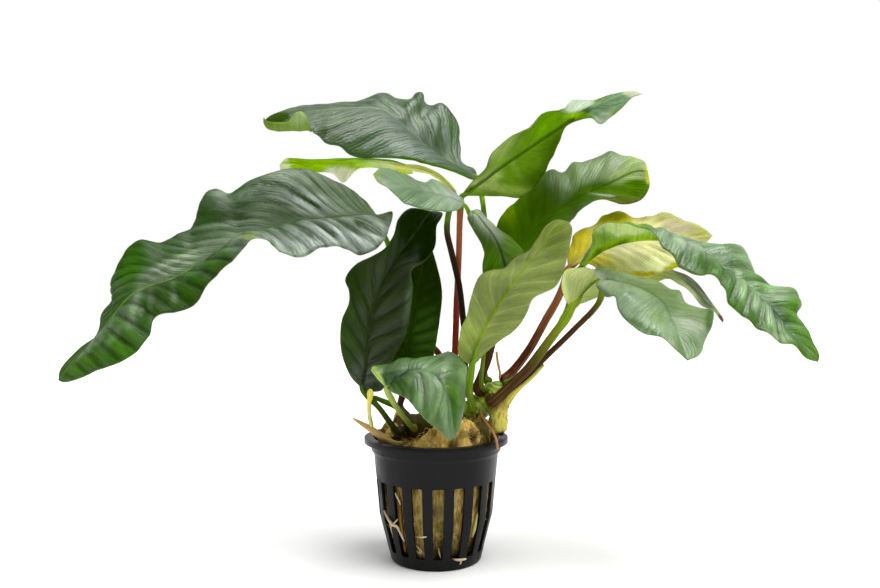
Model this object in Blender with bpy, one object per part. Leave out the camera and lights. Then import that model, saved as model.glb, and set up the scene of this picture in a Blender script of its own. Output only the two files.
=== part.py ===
"""A potted aquarium plant: fifteen long leaves on their stalks, grown from a creeping rhizome that sits
on a rockwool plug in a slotted net pot.

The origin is at the bottom centre of the pot, +Z is up and the plant's front faces -Y.

Outline points are in millimetres, as (across, depth, up). Across and up are drawn on the upright
plane through the pot's axis, as an eye in front of the pot sees them, and depth is how far the point
lies behind that plane. The function seen() carries such a point along its line of sight to its depth.
"""

import math

import bmesh
import bpy
import numpy as np

MM = 0.001
GAP = 0.0004

# The eye that the outlines are drawn from: its distance in front of the axis, height and side step
EYE_DISTANCE = 0.3077
EYE_HEIGHT = 0.101
EYE_SIDE = 0.0015

# Net pot, a 5.5 cm one
RIM_RADIUS = 0.0275
BAND_RADIUS = 0.0248
FOOT_RADIUS = 0.0173
POT_HEIGHT = 0.0465
WALL = 0.0013
SLOT_COUNT = 18
SLOT_FOOT = 0.0046
SLOT_TOP = 0.0312
SLOT_SHARE = 0.53
SLOT_TURN = math.radians(2.3)

# Rockwool plug, and the torn tufts that stand up from it: (x, y, height, reach in x, reach in y)
PLUG_TOP = 0.0443
PLUG_LUMP = 0.0006
PLUG_FOOT_RADIUS = 0.0150
PLUG_SECTORS = 28
TOP_RADII = (0.0206, 0.0182, 0.0158, 0.0132, 0.0104, 0.0070)
TUFTS = (
    (0.0030, -0.0125, 0.0095, 0.0080, 0.0040),
    (0.0125, -0.0135, 0.0085, 0.0042, 0.0036),
    (-0.0188, -0.0030, 0.0080, 0.0034, 0.0042),
)

# Leaves and their stalks
BLADE_THICKNESS = 0.0008
BLADE_COLUMNS = (-1.0, -0.5, 0.0, 0.5, 1.0)
BLADE_CAMBER = 0.10
STALK_CLEARANCE = 0.0014
STALK_STEP = 0.011
FOOT_LIFT = 0.25
RHIZOME_ROWS = 14

# Colours, linear
BLACK_PLASTIC = (0.012, 0.012, 0.013)
ROCKWOOL_TAN = (0.26, 0.17, 0.06)
RHIZOME_GREEN = (0.20, 0.24, 0.03)
GREY_GREEN = (0.055, 0.105, 0.06)
DARK_GREEN = (0.018, 0.05, 0.01)
MID_GREEN = (0.07, 0.15, 0.06)
BRIGHT_GREEN = (0.13, 0.27, 0.03)
PALE_GREEN = (0.22, 0.30, 0.09)
YELLOW = (0.50, 0.46, 0.12)
STALK_BROWN = (0.09, 0.03, 0.012)
STALK_DARK = (0.03, 0.015, 0.006)
STALK_GREEN = (0.14, 0.20, 0.02)
ROOT_TAN = (0.45, 0.26, 0.09)
ROOT_RED = (0.25, 0.09, 0.04)

# Each leaf: its midrib from stalk to tip, and its margins left and right of it, looking to the tip
LEAVES = {
    "leaf_upper_left": {
        "colour": GREY_GREEN,
        "rows": 14,
        "midrib": [(16, 10, 146), (7.5, 8, 151), (1.5, 7, 154), (-6, 5, 160), (-14, 4, 167),
                   (-20, 2, 171.5), (-33, -2, 172.5), (-48.5, -8, 171), (-66.5, -14, 167)],
        "left": [(10, 5, 148), (3.5, 0, 151), (-4, -4, 151.5), (-14, -8, 154), (-23.5, -10, 153),
                 (-28, -12, 152.5), (-33, -13, 154.5), (-37, -14, 157.5), (-42.5, -16, 159),
                 (-45.5, -18, 162), (-49, -19, 163.5), (-58, -19, 163.5)],
        "right": [(9.5, 13, 151.5), (9, 16, 158), (8.5, 18, 165), (6, 19, 171), (1.5, 19, 174),
                  (-4, 18, 175), (-9.5, 17, 176.8), (-15.5, 16, 176.8), (-20.5, 15, 179),
                  (-28.5, 12, 177), (-37, 9, 175), (-45, 5, 174.5), (-56, -3, 172.5),
                  (-64, -10, 169.5)],
    },
    "leaf_long_left": {
        "colour": GREY_GREEN,
        "rows": 22,
        "midrib": [(-15.5, 4, 132), (-33, 2, 131), (-48.5, -1, 129.5), (-60, -4, 127.5),
                   (-72, -8, 123.5), (-87.5, -14, 114.5), (-99.5, -19, 107.5), (-116, -24, 101),
                   (-128, -28, 87.5), (-145.3, -32, 67.7)],
        "left": [(-17, -1, 126.5), (-18.5, -6, 123), (-23.5, -12, 118), (-29.5, -15, 116),
                 (-35, -17, 118.5), (-44, -20, 119), (-51, -22, 115), (-56, -23, 115.3),
                 (-61, -25, 117.5), (-65, -26, 121.5), (-71, -27, 121.5), (-76, -27, 116.5),
                 (-84, -28, 109), (-89, -30, 103.5), (-91.5, -32, 98.5), (-96.5, -33, 95),
                 (-108, -36, 92), (-110.5, -38, 86), (-116, -39, 79.5), (-123, -39, 74),
                 (-130.5, -38, 71.5), (-137, -36, 68.5), (-143, -33, 67)],
        "right": [(-21.5, 8, 130.5), (-24.5, 11, 134), (-29, 13, 138.5), (-35, 13, 143),
                  (-41, 12, 145.5), (-48.5, 10, 148.5), (-56, 8, 149.2), (-62, 6, 148),
                  (-71.5, 3, 144.5), (-76.5, 1, 141), (-80, 0, 139.5), (-84.5, -1, 141.5),
                  (-88, -2, 140.5), (-91, -4, 136), (-94.5, -7, 126), (-98.5, -9, 124.5),
                  (-106, -12, 121), (-113.5, -14, 122), (-118, -15, 119.5), (-121, -17, 115),
                  (-125, -19, 104.5), (-124, -20, 99.5), (-128, -22, 93), (-129.5, -25, 85.5),
                  (-137, -28, 80), (-144.5, -31, 72)],
    },
    "leaf_back_left": {
        "colour": BRIGHT_GREEN,
        "rows": 9,
        "midrib": [(-10.8, 22, 150.4), (-18, 26, 151.5), (-29, 33, 152), (-41, 42, 151.5),
                   (-52, 52, 151.5), (-59.5, 58, 152)],
        "left": [(-17, 18, 152), (-27, 20, 152.5), (-38, 27, 152.5), (-48, 38, 152.5),
                 (-56, 50, 152.5)],
        "right": [(-9, 30, 147.5), (-15, 38, 147), (-24, 44, 149.5), (-30, 48, 149), (-36, 51, 143.7),
                  (-40, 52, 147.3), (-48, 56, 147.8), (-55, 59, 149.2)],
    },
    "leaf_small_left": {
        "colour": GREY_GREEN,
        "rows": 9,
        "midrib": [(11.2, -16, 135.4), (5, -20, 138), (-4, -25, 140), (-14, -31, 143.5),
                   (-24.3, -38, 147)],
        "left": [(8, -23, 133.2), (1.5, -31, 132.7), (-6, -36, 134), (-12, -39, 136),
                 (-18.5, -42, 141.5), (-22.3, -41, 144)],
        "right": [(10, -13, 138), (7, -12, 140), (3.5, -13, 142.5), (-1.5, -15, 145), (-4.5, -18, 144),
                  (-14, -24, 148), (-18, -29, 149.2), (-22, -34, 149)],
    },
    "leaf_small_right": {
        "colour": MID_GREEN,
        "rows": 9,
        "midrib": [(13.5, -18, 133), (16.2, -20, 131), (18.8, -21, 127.7), (22, -21, 123.5),
                   (24.2, -21, 119), (26.2, -22, 112), (27, -23, 103.5)],
        "left": [(16.5, -16, 133.5), (19.5, -14, 130), (26, -14, 124.5), (29.5, -14, 122),
                 (33.5, -15, 117.5), (33, -18, 112), (30.5, -21, 106.5)],
        "right": [(12, -19, 130.5), (14, -21, 126), (17.5, -22, 120), (18.5, -23, 117),
                  (17.8, -25, 112), (18.3, -26, 108), (22, -25, 104.5)],
    },
    "leaf_upper_right": {
        "colour": BRIGHT_GREEN,
        "rows": 14,
        "midrib": [(9.6, 0, 138.8), (17, -1, 144), (24.6, 0, 149.6), (40, 4, 160), (50, 8, 166.5),
                   (60, 8, 172.3), (73, 5, 177.5), (79.6, 2, 178)],
        "left": [(17, 7, 138.7), (26.5, 14, 138.5), (32.5, 16, 138), (38, 19, 142.5), (41, 20, 146),
                 (44, 21, 152.5), (47.5, 20, 159.5), (50.5, 16, 166), (55, 12, 168), (60, 7, 168.5),
                 (63.5, 2, 166.3), (67.3, 0, 169.2), (72.5, 0, 174), (75.5, 0, 177)],
        "right": [(15, -5, 145.5), (19, -8, 149), (21, -11, 154.5), (23.5, -13, 157.5),
                  (27.5, -13, 161), (32.5, -12, 163), (37, -10, 166), (40.5, -7, 170.3),
                  (46.5, -2, 171.5), (50, 6, 173), (53, 13, 175.8), (60, 15, 175.5), (67, 12, 177.5),
                  (74.5, 7, 179)],
    },
    "leaf_high_right": {
        "colour": MID_GREEN,
        "rows": 12,
        "midrib": [(24.6, 6, 110.4), (34, 10, 122), (45.8, 15, 132.7), (57.3, 19, 139), (67.7, 21, 144),
                   (76.5, 21, 148), (81.5, 20, 148)],
        "left": [(23, 11, 118), (23.5, 17, 127), (26.5, 22, 132.5), (32.5, 26, 138), (36, 27, 141),
                 (41, 29, 147), (45, 30, 149), (49, 30, 148), (52.7, 31, 151.5), (56, 31, 151.5),
                 (63, 32, 154.2), (67, 32, 156), (71.5, 31, 153.8), (76.5, 29, 153.5), (80, 25, 152)],
        "right": [(31, 2, 110), (38, 1, 115), (45, 1, 122), (52.5, 3, 129.5), (55.5, 5, 133),
                  (62, 7, 137), (65, 8, 137.3), (71.5, 8, 135.5), (78.5, 10, 137), (82, 14, 142)],
    },
    "leaf_front_upright": {
        "colour": PALE_GREEN,
        "rows": 12,
        "midrib": [(13.5, -16, 73.5), (15.4, -19, 80.8), (18.5, -22, 88), (23.3, -26, 96.2),
                   (29.2, -30, 105), (34.6, -34, 112), (39.6, -37, 118), (45, -39, 125),
                   (51, -41, 128.8)],
        "left": [(15.5, -15, 74.6), (19.2, -15, 78.5), (24.2, -16, 82.7), (31.2, -18, 88),
                 (35, -21, 94), (36.5, -23, 98), (40, -26, 101), (45.5, -29, 103.5), (48.8, -33, 109),
                 (50.5, -36, 115.4), (51.7, -38, 121), (52.3, -40, 126.5)],
        "right": [(9, -19, 76.5), (8.5, -21, 80), (9.6, -25, 87.3), (12, -28, 93.5), (14.6, -33, 103),
                  (18, -37, 108.5), (22, -38, 110.2), (26.2, -39, 110.8), (30, -41, 114.6),
                  (35.4, -43, 117.3), (38.5, -44, 121.5), (42.3, -45, 127.5), (46.9, -44, 129.5)],
    },
    "leaf_dark_centre": {
        "colour": DARK_GREEN,
        "rows": 12,
        "midrib": [(-28.5, -14, 64.6), (-26.7, -16, 75), (-25.5, -17, 88), (-22, -17, 103),
                   (-14, -15, 116), (-8, -13, 124), (-2, -11, 133)],
        "left": [(-33, -18, 69.5), (-36.5, -21, 79), (-36.5, -23, 90), (-33.5, -22, 98),
                 (-33.6, -21, 102.5), (-35, -21, 106.5), (-31.5, -20, 111.5), (-20, -18, 118),
                 (-16.5, -17, 123.5), (-14.5, -16, 130), (-10, -14, 134)],
        "right": [(-22.5, -15, 68), (-17.7, -17, 75), (-12.3, -19, 84), (-10, -20, 94), (-9, -20, 104),
                  (-9.5, -19, 110), (-4.6, -19, 113.5), (-0.5, -18, 119), (0.3, -16, 127),
                  (2.5, -12, 132)],
    },
    "leaf_dark_behind": {
        "colour": DARK_GREEN,
        "rows": 9,
        "midrib": [(-13.8, 2, 66), (-10.8, 0, 79.6), (-8.8, -2, 91), (-7, -2, 102.7), (-4.6, 0, 113.5),
                   (-2.3, 2, 120.4)],
        "left": [(-18, -1, 75), (-21, -3, 88), (-19, -3, 102), (-11, -1, 114)],
        "right": [(-8, 0, 68.5), (-3, -3, 77.7), (-0.9, -5, 83), (1.2, -6, 91.2), (2.3, -5, 102),
                  (0.2, -3, 112.5)],
    },
    "leaf_front_low": {
        "colour": MID_GREEN,
        "rows": 11,
        "midrib": [(-19.2, -27, 65), (-14, -29, 69), (-7, -31, 71.5), (-1, -33, 69.6), (3.5, -36, 63),
                   (5.4, -38, 54.6), (5.8, -38, 44.6)],
        "left": [(-22.5, -29, 68.5), (-25, -27, 72.3), (-19.5, -24, 73.8), (-13.5, -22, 75.8),
                 (-2.7, -20, 77), (6, -20, 79), (9.5, -22, 77), (11.2, -24, 73.5), (11.5, -28, 67),
                 (10.8, -33, 58.8), (9.6, -35, 53), (7.5, -37, 46.5)],
        "right": [(-17.5, -30, 63.5), (-14.2, -33, 62), (-10.4, -36, 60), (-7.5, -38, 56.2),
                  (-3.5, -40, 52), (2, -40, 48), (4, -39, 45.3)],
    },
    "leaf_yellow": {
        "colour": YELLOW,
        "rows": 12,
        "midrib": [(50.8, 8, 111.2), (57.3, 9, 115.8), (67, 10, 119.6), (78.5, 11, 121.5),
                   (92, 11, 122), (106.3, 12, 123.5)],
        "left": [(50.5, 10, 115), (52, 13, 120.8), (52.5, 15, 123.5), (56, 17, 126), (60.8, 19, 127),
                 (64.2, 21, 131), (70.4, 22, 132.5), (74, 22, 131), (83.5, 22, 131), (88, 22, 132),
                 (92.3, 21, 130.5), (97.5, 19, 128.8), (102.7, 16, 126.2)],
        "right": [(55, 6, 112.8), (59, 4.5, 112.5), (62, 3, 110.8), (69.6, 1, 109.2), (78, 0, 107.3),
                  (84.6, -1, 108.5), (88, 0, 110), (93, 1, 111.2), (99.5, 5, 114), (103, 9, 119.5)],
    },
    "leaf_long_right": {
        "colour": MID_GREEN,
        "rows": 21,
        "midrib": [(54.2, -5, 110.4), (60.8, -8, 117), (70.8, -12, 121.5), (84.2, -16, 123),
                   (94, -19, 121), (101.5, -22, 117.5), (108, -26, 113.3), (113.5, -30, 107.7),
                   (120.4, -34, 103.8), (126.5, -38, 97), (132.3, -42, 90), (147, -48, 74.8)],
        "left": [(58, -2, 116.5), (63, 0, 121.5), (71, 2, 124.5), (79, 2, 124.5), (85.5, 0, 123.5),
                 (91.5, -2, 122.8), (98.5, -4, 120.3), (109.6, -8, 119), (113.5, -10, 120.4),
                 (117, -12, 119.5), (119.8, -15, 116), (122, -18, 110), (124.6, -21, 107),
                 (130, -25, 103.6), (137, -29, 103), (139.6, -32, 100.5), (140.8, -34, 97),
                 (139.3, -37, 92.7), (142, -41, 88.5), (144.6, -44, 83), (147.3, -47, 77.7)],
        "right": [(58.5, -12, 116), (60.5, -18, 122.5), (62, -21, 126), (67, -24, 127.7),
                  (78, -28, 127), (83.5, -32, 124.5), (86.5, -35, 119.5), (90.5, -38, 116),
                  (94, -40, 111.5), (98.5, -42, 108.5), (105.5, -43, 108.3), (110, -44, 104),
                  (111.5, -45, 99), (115, -46, 94.6), (120.4, -47, 91), (123, -48, 87.7),
                  (127.3, -49, 85.8), (132.5, -50, 82), (137.7, -50, 81.3), (142.3, -50, 76.3)],
    },
    "leaf_front_right": {
        "colour": GREY_GREEN,
        "rows": 12,
        "midrib": [(65.4, -14, 106.2), (72.7, -19, 105), (80.4, -25, 102.3), (88, -32, 97),
                   (91, -37, 90.8), (93.8, -43, 83.5), (96.7, -49, 75.3)],
        "left": [(62, -12, 107.3), (60.8, -11, 110), (63, -9, 111.2), (68.8, -8, 110),
                 (74.6, -9, 108.5), (80.4, -11, 107), (86.2, -14, 105.4), (90.4, -17, 102.7),
                 (93.8, -20, 102), (95.8, -23, 97.7), (101.5, -26, 95.8), (106.3, -30, 95),
                 (106.5, -34, 90.4), (103.8, -40, 83.5), (101.3, -46, 77.5)],
        "right": [(61.5, -18, 105), (65, -24, 100), (68.8, -29, 99.6), (70, -33, 95), (74.6, -38, 89.2),
                  (80.4, -42, 85.8), (86.2, -45, 84.6), (92, -49, 79.6)],
    },
    "leaf_pale_right": {
        "colour": PALE_GREEN,
        "rows": 11,
        "midrib": [(51.5, -10, 95.8), (61, 0, 105.8), (74.6, 9, 112), (88.8, 15, 109.5),
                   (101.5, 14, 101.5), (110.4, 10, 89.8)],
        "left": [(57.3, -5, 97.8), (63, -1, 100), (74.6, 8, 102.7), (84, 12, 105), (88.8, 12.5, 106.5),
                 (95.8, 13, 102), (101.5, 12, 97), (106.2, 11, 93.8)],
        "right": [(49.5, -13, 99.5), (48.3, -14, 104), (49.8, -13, 110), (55.5, -9, 111),
                  (60, -3, 110.5), (64, 6, 109.8), (69, 12, 113), (76, 15, 117), (84, 18, 116),
                  (91, 19, 111), (97.7, 19, 107), (102.7, 16, 101), (107.7, 12, 94.3)],
    },
}

# Each leaf stalk: its route from the rhizome up, which ends at the base of its blade, and the radii
# at its foot and at the blade, in millimetres
STALKS = {
    "leaf_upper_left": (STALK_GREEN, 1.4, 0.9, [
        (18.7, 5, 69), (20, 3, 83.5), (20.8, 3, 102.7), (20, 4, 118), (18.5, 8, 131.5), (17.5, 12, 139)]),
    "leaf_long_left": (STALK_BROWN, 1.4, 0.9, [
        (2, 6, 59), (1.5, 8, 77), (-2.7, 9, 82.3), (-8, 10, 95), (-13.8, 10, 108.5), (-17.7, 9, 118),
        (-18.8, 9, 121.2), (-17.5, 8, 127)]),
    "leaf_back_left": (STALK_DARK, 1.2, 0.9, [
        (11.2, 2.5, 64.5), (11.5, 1, 81.5), (10.4, -1, 91), (8.8, -1, 104.6), (6.2, 1, 116), (4.2, 5, 125),
        (5, 10, 132.7), (7, 15, 139.2), (3.5, 18, 144), (-2.3, 20, 148)]),
    "leaf_small_left": (STALK_GREEN, 0.9, 0.7, [
        (11.5, -5, 64), (15, -6, 79.6), (17.7, -9, 95), (19.6, -11, 104.6), (20, -11, 113.5),
        (17.3, -12, 122.7), (13.5, -14, 130.4)]),
    "leaf_small_right": (STALK_GREEN, 0.9, 0.7, [
        (17.5, -7, 66), (18.5, -9, 79.6), (20, -12, 95), (21.5, -14, 104.6), (21.5, -15, 113.5),
        (18.5, -15, 122.7), (15, -15.5, 128.8)]),
    "leaf_upper_right": (STALK_BROWN, 1.4, 1.1, [
        (6.5, 5, 60), (7.3, 5, 79.6), (8, 5, 98.8), (8.8, 4, 118), (9.2, 2, 131.5)]),
    "leaf_high_right": (STALK_DARK, 2.0, 1.5, [
        (17.6, -1.8, 69.5), (20.4, -2, 77.7), (23.5, 1, 95)]),
    "leaf_front_upright": (STALK_GREEN, 1.5, 1.2, [(13.5, -10, 58), (12.8, -13, 66)]),
    "leaf_dark_centre": (STALK_GREEN, 1.4, 1.1, [
        (-14.6, -9, 47.5), (-18, -11, 52), (-22.3, -12.5, 57.7), (-25.4, -13, 60.8)]),
    "leaf_dark_behind": (STALK_BROWN, 1.3, 1.0, [(-13.8, 4, 58), (-13, 3.5, 62)]),
    "leaf_front_low": (STALK_GREEN, 1.4, 1.1, [(-8.5, -10, 49), (-13.8, -18, 55.4), (-17, -23, 60.4)]),
    "leaf_yellow": (STALK_BROWN, 1.9, 1.3, [
        (27.7, 4, 69.5), (30.5, 4, 72.5), (36, 4, 80), (42.3, 5, 91.2), (46.7, 6, 99), (49.8, 7, 106.5)]),
    "leaf_long_right": (STALK_GREEN, 1.2, 1.0, [
        (30.5, -2, 68.5), (41.5, -2, 80.5), (50, -1, 94), (52.8, -3, 104.6)]),
    "leaf_front_right": (STALK_DARK, 1.2, 1.0, [
        (29, -5.5, 63.5), (41.2, -6, 75.8), (53, -8, 87.3), (62.5, -11, 97.5)]),
    "leaf_pale_right": (STALK_DARK, 2.1, 1.5, [
        (21.8, -9, 59.6), (27, -8.8, 64.2), (35, -9, 71.8), (43.5, -9.5, 83), (49.5, -10, 91.2)]),
}

# Roots and shoots: colour, then (across, depth, up, radius) along each, in millimetres, from the foot up
# or, for those in ROOTED, from the rhizome out
THREADS = {
    "stalk_bare_left": (STALK_DARK, [
        (-10, -4, 56, 1.1), (-14.2, -7, 57, 1.0), (-18.5, -9, 59.2, 1.0), (-23, -9.5, 61, 0.8)]),
    "shoot_young_left": (STALK_GREEN, [
        (-25, -9.5, 51.2, 0.8), (-25.6, -12.5, 54, 0.8), (-25.8, -15.5, 58.5, 0.8), (-25.4, -17, 61.2, 1.3),
        (-25.3, -17.2, 62.8, 1.4), (-25.3, -17.3, 64.6, 0.6)]),
    "shoot_young_right": (STALK_GREEN, [
        (27.9, -8.5, 59, 1.1), (28.8, -8.5, 61, 1.0), (32.3, -8.5, 65, 0.9), (37.3, -8.5, 69.2, 0.9)]),
    "root_over_rim_left": (ROOT_TAN, [
        (-31.7, -4, 52.7, 0.8), (-26.3, -8.5, 49.8, 1.2), (-23.8, -10, 48.2, 1.3), (-20.8, -11, 46, 1.3),
        (-16.3, -11.5, 43.6, 1.1), (-12.5, -10.5, 43.4, 1.0)]),
    "root_over_rim_right": (ROOT_RED, [
        (17, -10, 55.5, 0.8), (18, -12.5, 53.5, 0.8), (20.4, -15, 50, 0.8), (22.9, -18, 47.2, 0.8),
        (24, -19, 44.6, 0.7), (24.3, -19, 41, 0.6)]),
    "root_thread": (ROOT_TAN, [(24.6, 1, 70.3, 0.5), (23.7, 2, 75, 0.5), (23.2, 3, 79, 0.5)]),
    "rhizome_branch": (RHIZOME_GREEN, [
        (25.7, -5.5, 58.2, 1.8), (24.9, -6, 54.5, 2.1), (24.2, -6.5, 50.5, 2.1), (22.7, -7, 46.8, 1.6)]),
}
ROOTED = ("stalk_bare_left", "root_over_rim_right", "root_thread", "rhizome_branch")

# The rhizome's axis and radius, in true millimetres, (across, depth, up, radius)
RHIZOME = [(-12, -1, 50.2, 3.8), (-8, 0, 50.4, 4.8), (-3, 0, 50.6, 4.9), (1, 0, 51.0, 4.5), (6, 0, 52, 5.1),
           (11, 0, 54, 4.6), (15, 0, 56.4, 5.0), (19, 1, 59.4, 4.6), (22, 1, 62.4, 4.9), (23.6, 1, 65.4, 4.0),
           (24.2, 1, 67.6, 2.0)]

# The pot's wall from the middle of its floor to its rim: outer (radius, height), inner (radius, height)
POT_WALL = [
    ((0.0000, 0.0000), (0.0000, WALL)),
    ((0.0060, 0.0000), (0.0060, WALL)),
    ((0.0135, 0.0000), (0.0132, WALL)),
    ((0.0164, 0.0000), (0.0157, WALL)),
    ((FOOT_RADIUS, 0.0006), (0.0161, 0.0022)),
    ((0.0183, SLOT_FOOT), (0.0170, 0.0048)),
    ((0.0216, 0.0175), (0.0203, 0.0175)),
    ((0.0229, SLOT_TOP), (0.0216, SLOT_TOP)),
    ((0.0238, 0.0405), (0.0225, 0.0400)),
    ((BAND_RADIUS, 0.0418), (0.0232, 0.0418)),
    ((BAND_RADIUS, 0.0442), (0.0235, 0.0442)),
    ((RIM_RADIUS, 0.0446), (0.0237, 0.0452)),
    ((RIM_RADIUS, POT_HEIGHT), (0.0240, POT_HEIGHT)),
]
FLOOR_SLOT_RING = 1
WALL_SLOT_RINGS = (5, 6)


def seen(point):
    """The place, in metres, of an outline point: moved along the line of sight to its own depth."""
    across, depth, up = (value * MM for value in point)
    reach = (EYE_DISTANCE + depth) / EYE_DISTANCE
    return np.array([
        EYE_SIDE + (across - EYE_SIDE) * reach,
        depth,
        EYE_HEIGHT + (up - EYE_HEIGHT) * reach,
    ])


def smooth_line(points, count):
    """A smooth curve through the points, as evenly spaced rows; columns past the third ride along."""
    points = np.asarray(points, float)
    ends = np.vstack([2 * points[0] - points[1], points, 2 * points[-1] - points[-2]])
    step = np.sqrt(np.linalg.norm(np.diff(ends[:, :3], axis=0), axis=1)) + 1e-9
    knots = np.concatenate([[0.0], np.cumsum(step)])
    fine = []
    for i in range(1, len(ends) - 2):
        times = np.linspace(knots[i], knots[i + 1], 24, endpoint=i == len(ends) - 3)[:, None]
        first, second, third = (
            (knots[j + 1] - times) / step[j] * ends[j] + (times - knots[j]) / step[j] * ends[j + 1]
            for j in (i - 1, i, i + 1))
        span = step[i - 1] + step[i]
        low = (knots[i + 1] - times) / span * first + (times - knots[i - 1]) / span * second
        span = step[i] + step[i + 1]
        high = (knots[i + 2] - times) / span * second + (times - knots[i]) / span * third
        fine.append((knots[i + 1] - times) / step[i] * low + (times - knots[i]) / step[i] * high)
    fine = np.vstack(fine)
    length = np.concatenate([[0.0], np.cumsum(np.linalg.norm(np.diff(fine[:, :3], axis=0), axis=1))])
    wanted = np.linspace(0.0, length[-1], count)
    return np.column_stack([np.interp(wanted, length, fine[:, k]) for k in range(fine.shape[1])])


def rhizome_line():
    return smooth_line([tuple(value * MM for value in point) for point in RHIZOME], RHIZOME_ROWS)


def rhizome_foot(point, radius):
    """Where a rod of this radius that comes from the point meets the rhizome, a gap short of it."""
    axis = rhizome_line()
    nearest = axis[np.argmin(np.linalg.norm(axis[:, :3] - point, axis=1) - axis[:, 3])]
    outward = (point - nearest[:3]) / np.linalg.norm(point - nearest[:3])
    return nearest[:3] + outward * (nearest[3] + GAP + FOOT_LIFT * radius)


def material(name, colour, roughness):
    made = bpy.data.materials.new(name)
    made.use_nodes = True
    shader = made.node_tree.nodes["Principled BSDF"]
    shader.inputs["Base Color"].default_value = (*colour, 1.0)
    shader.inputs["Roughness"].default_value = roughness
    shader.inputs["Metallic"].default_value = 0.0
    return made


def put(name, data, colour, roughness):
    """Links the mesh or curve into the scene as an object with a material of its own."""
    piece = bpy.data.objects.new(name, data)
    bpy.context.scene.collection.objects.link(piece)
    data.materials.append(material(name, colour, roughness))
    return piece


def mesh_from(name, points, faces):
    mesh = bpy.data.meshes.new(name)
    mesh.from_pydata([tuple(point) for point in points], [], faces)
    mesh.shade_smooth()
    return mesh


def blade_sheet(leaf):
    """The middle surface of a leaf, as rows of points between its margins, without its two end points."""
    rows = leaf["rows"] + 2
    midrib = [seen(point) for point in leaf["midrib"]]
    middle = smooth_line(midrib, rows)
    left, right = (
        smooth_line([midrib[0]] + [seen(point) for point in leaf[side]] + [midrib[-1]], rows)
        for side in ("left", "right"))
    along = np.gradient(middle, axis=0)
    face = np.cross(right - left, along)
    face /= np.linalg.norm(face, axis=1, keepdims=True) + 1e-12
    sheet = []
    for column in BLADE_COLUMNS:
        edge = left if column < 0 else right
        share = abs(column)
        width = np.linalg.norm(edge - middle, axis=1, keepdims=True)
        dome = BLADE_CAMBER * width * 4 * share * (1 - share)
        sheet.append(middle + (edge - middle) * share + face * dome)
    return np.stack(sheet, axis=1)[1:-1], middle[0], middle[-1]


def make_leaf(name, leaf):
    rows, base, tip = blade_sheet(leaf)
    count, columns = rows.shape[:2]
    points = [*rows.reshape(-1, 3), base, tip]
    base_index, tip_index = count * columns, count * columns + 1
    faces = []
    for i in range(count - 1):
        for j in range(columns - 1):
            a = i * columns + j
            faces.append((a, a + 1, a + 1 + columns, a + columns))
    last = (count - 1) * columns
    for j in range(columns - 1):
        faces.append((base_index, j + 1, j))
        faces.append((tip_index, last + j, last + j + 1))
    blade = put(name, mesh_from(name, points, faces), leaf["colour"], 0.4)
    solid = blade.modifiers.new("Thickness", "SOLIDIFY")
    solid.thickness = BLADE_THICKNESS
    solid.offset = 0.0
    return blade


def make_tube(name, line, colour, roughness, sides_step=1):
    """A round tapering rod along rows of (x, y, z, radius) in metres, with closed ends."""
    curve = bpy.data.curves.new(name, "CURVE")
    curve.dimensions = "3D"
    curve.bevel_depth = 1.0
    curve.bevel_resolution = sides_step
    curve.use_fill_caps = True
    spline = curve.splines.new("POLY")
    spline.points.add(len(line) - 1)
    for point, row in zip(spline.points, line):
        point.co = (*row[:3], 1.0)
        point.radius = row[3]
    spline.use_smooth = True
    return put(name, curve, colour, roughness)


def make_stalk(name, colour, foot_radius, top_radius, route, blade_base):
    """A leaf stalk that stops just short of the blade it carries."""
    base = seen(blade_base)
    points = [seen(point) for point in route]
    points.insert(0, rhizome_foot(points[0], foot_radius * MM))
    inward = points[-1] - base
    points.append(base + inward / np.linalg.norm(inward) * STALK_CLEARANCE)
    radii = np.linspace(foot_radius, top_radius, len(points)) * MM
    length = sum(np.linalg.norm(after - before) for before, after in zip(points, points[1:]))
    line = smooth_line(np.column_stack([points, radii]), 4 + int(length / STALK_STEP))
    make_tube("stalk_" + name, line, colour, 0.45)


def make_thread(name, colour, route):
    points = [(*seen(point[:3]), point[3] * MM) for point in route]
    if name in ROOTED:
        foot = rhizome_foot(np.array(points[0][:3]), points[0][3])
        points.insert(0, (*foot, points[0][3]))
    make_tube(name, smooth_line(points, 2 * len(points)), colour, 0.55)


def make_rhizome():
    make_tube("rhizome", rhizome_line(), RHIZOME_GREEN, 0.4, sides_step=3)


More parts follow.
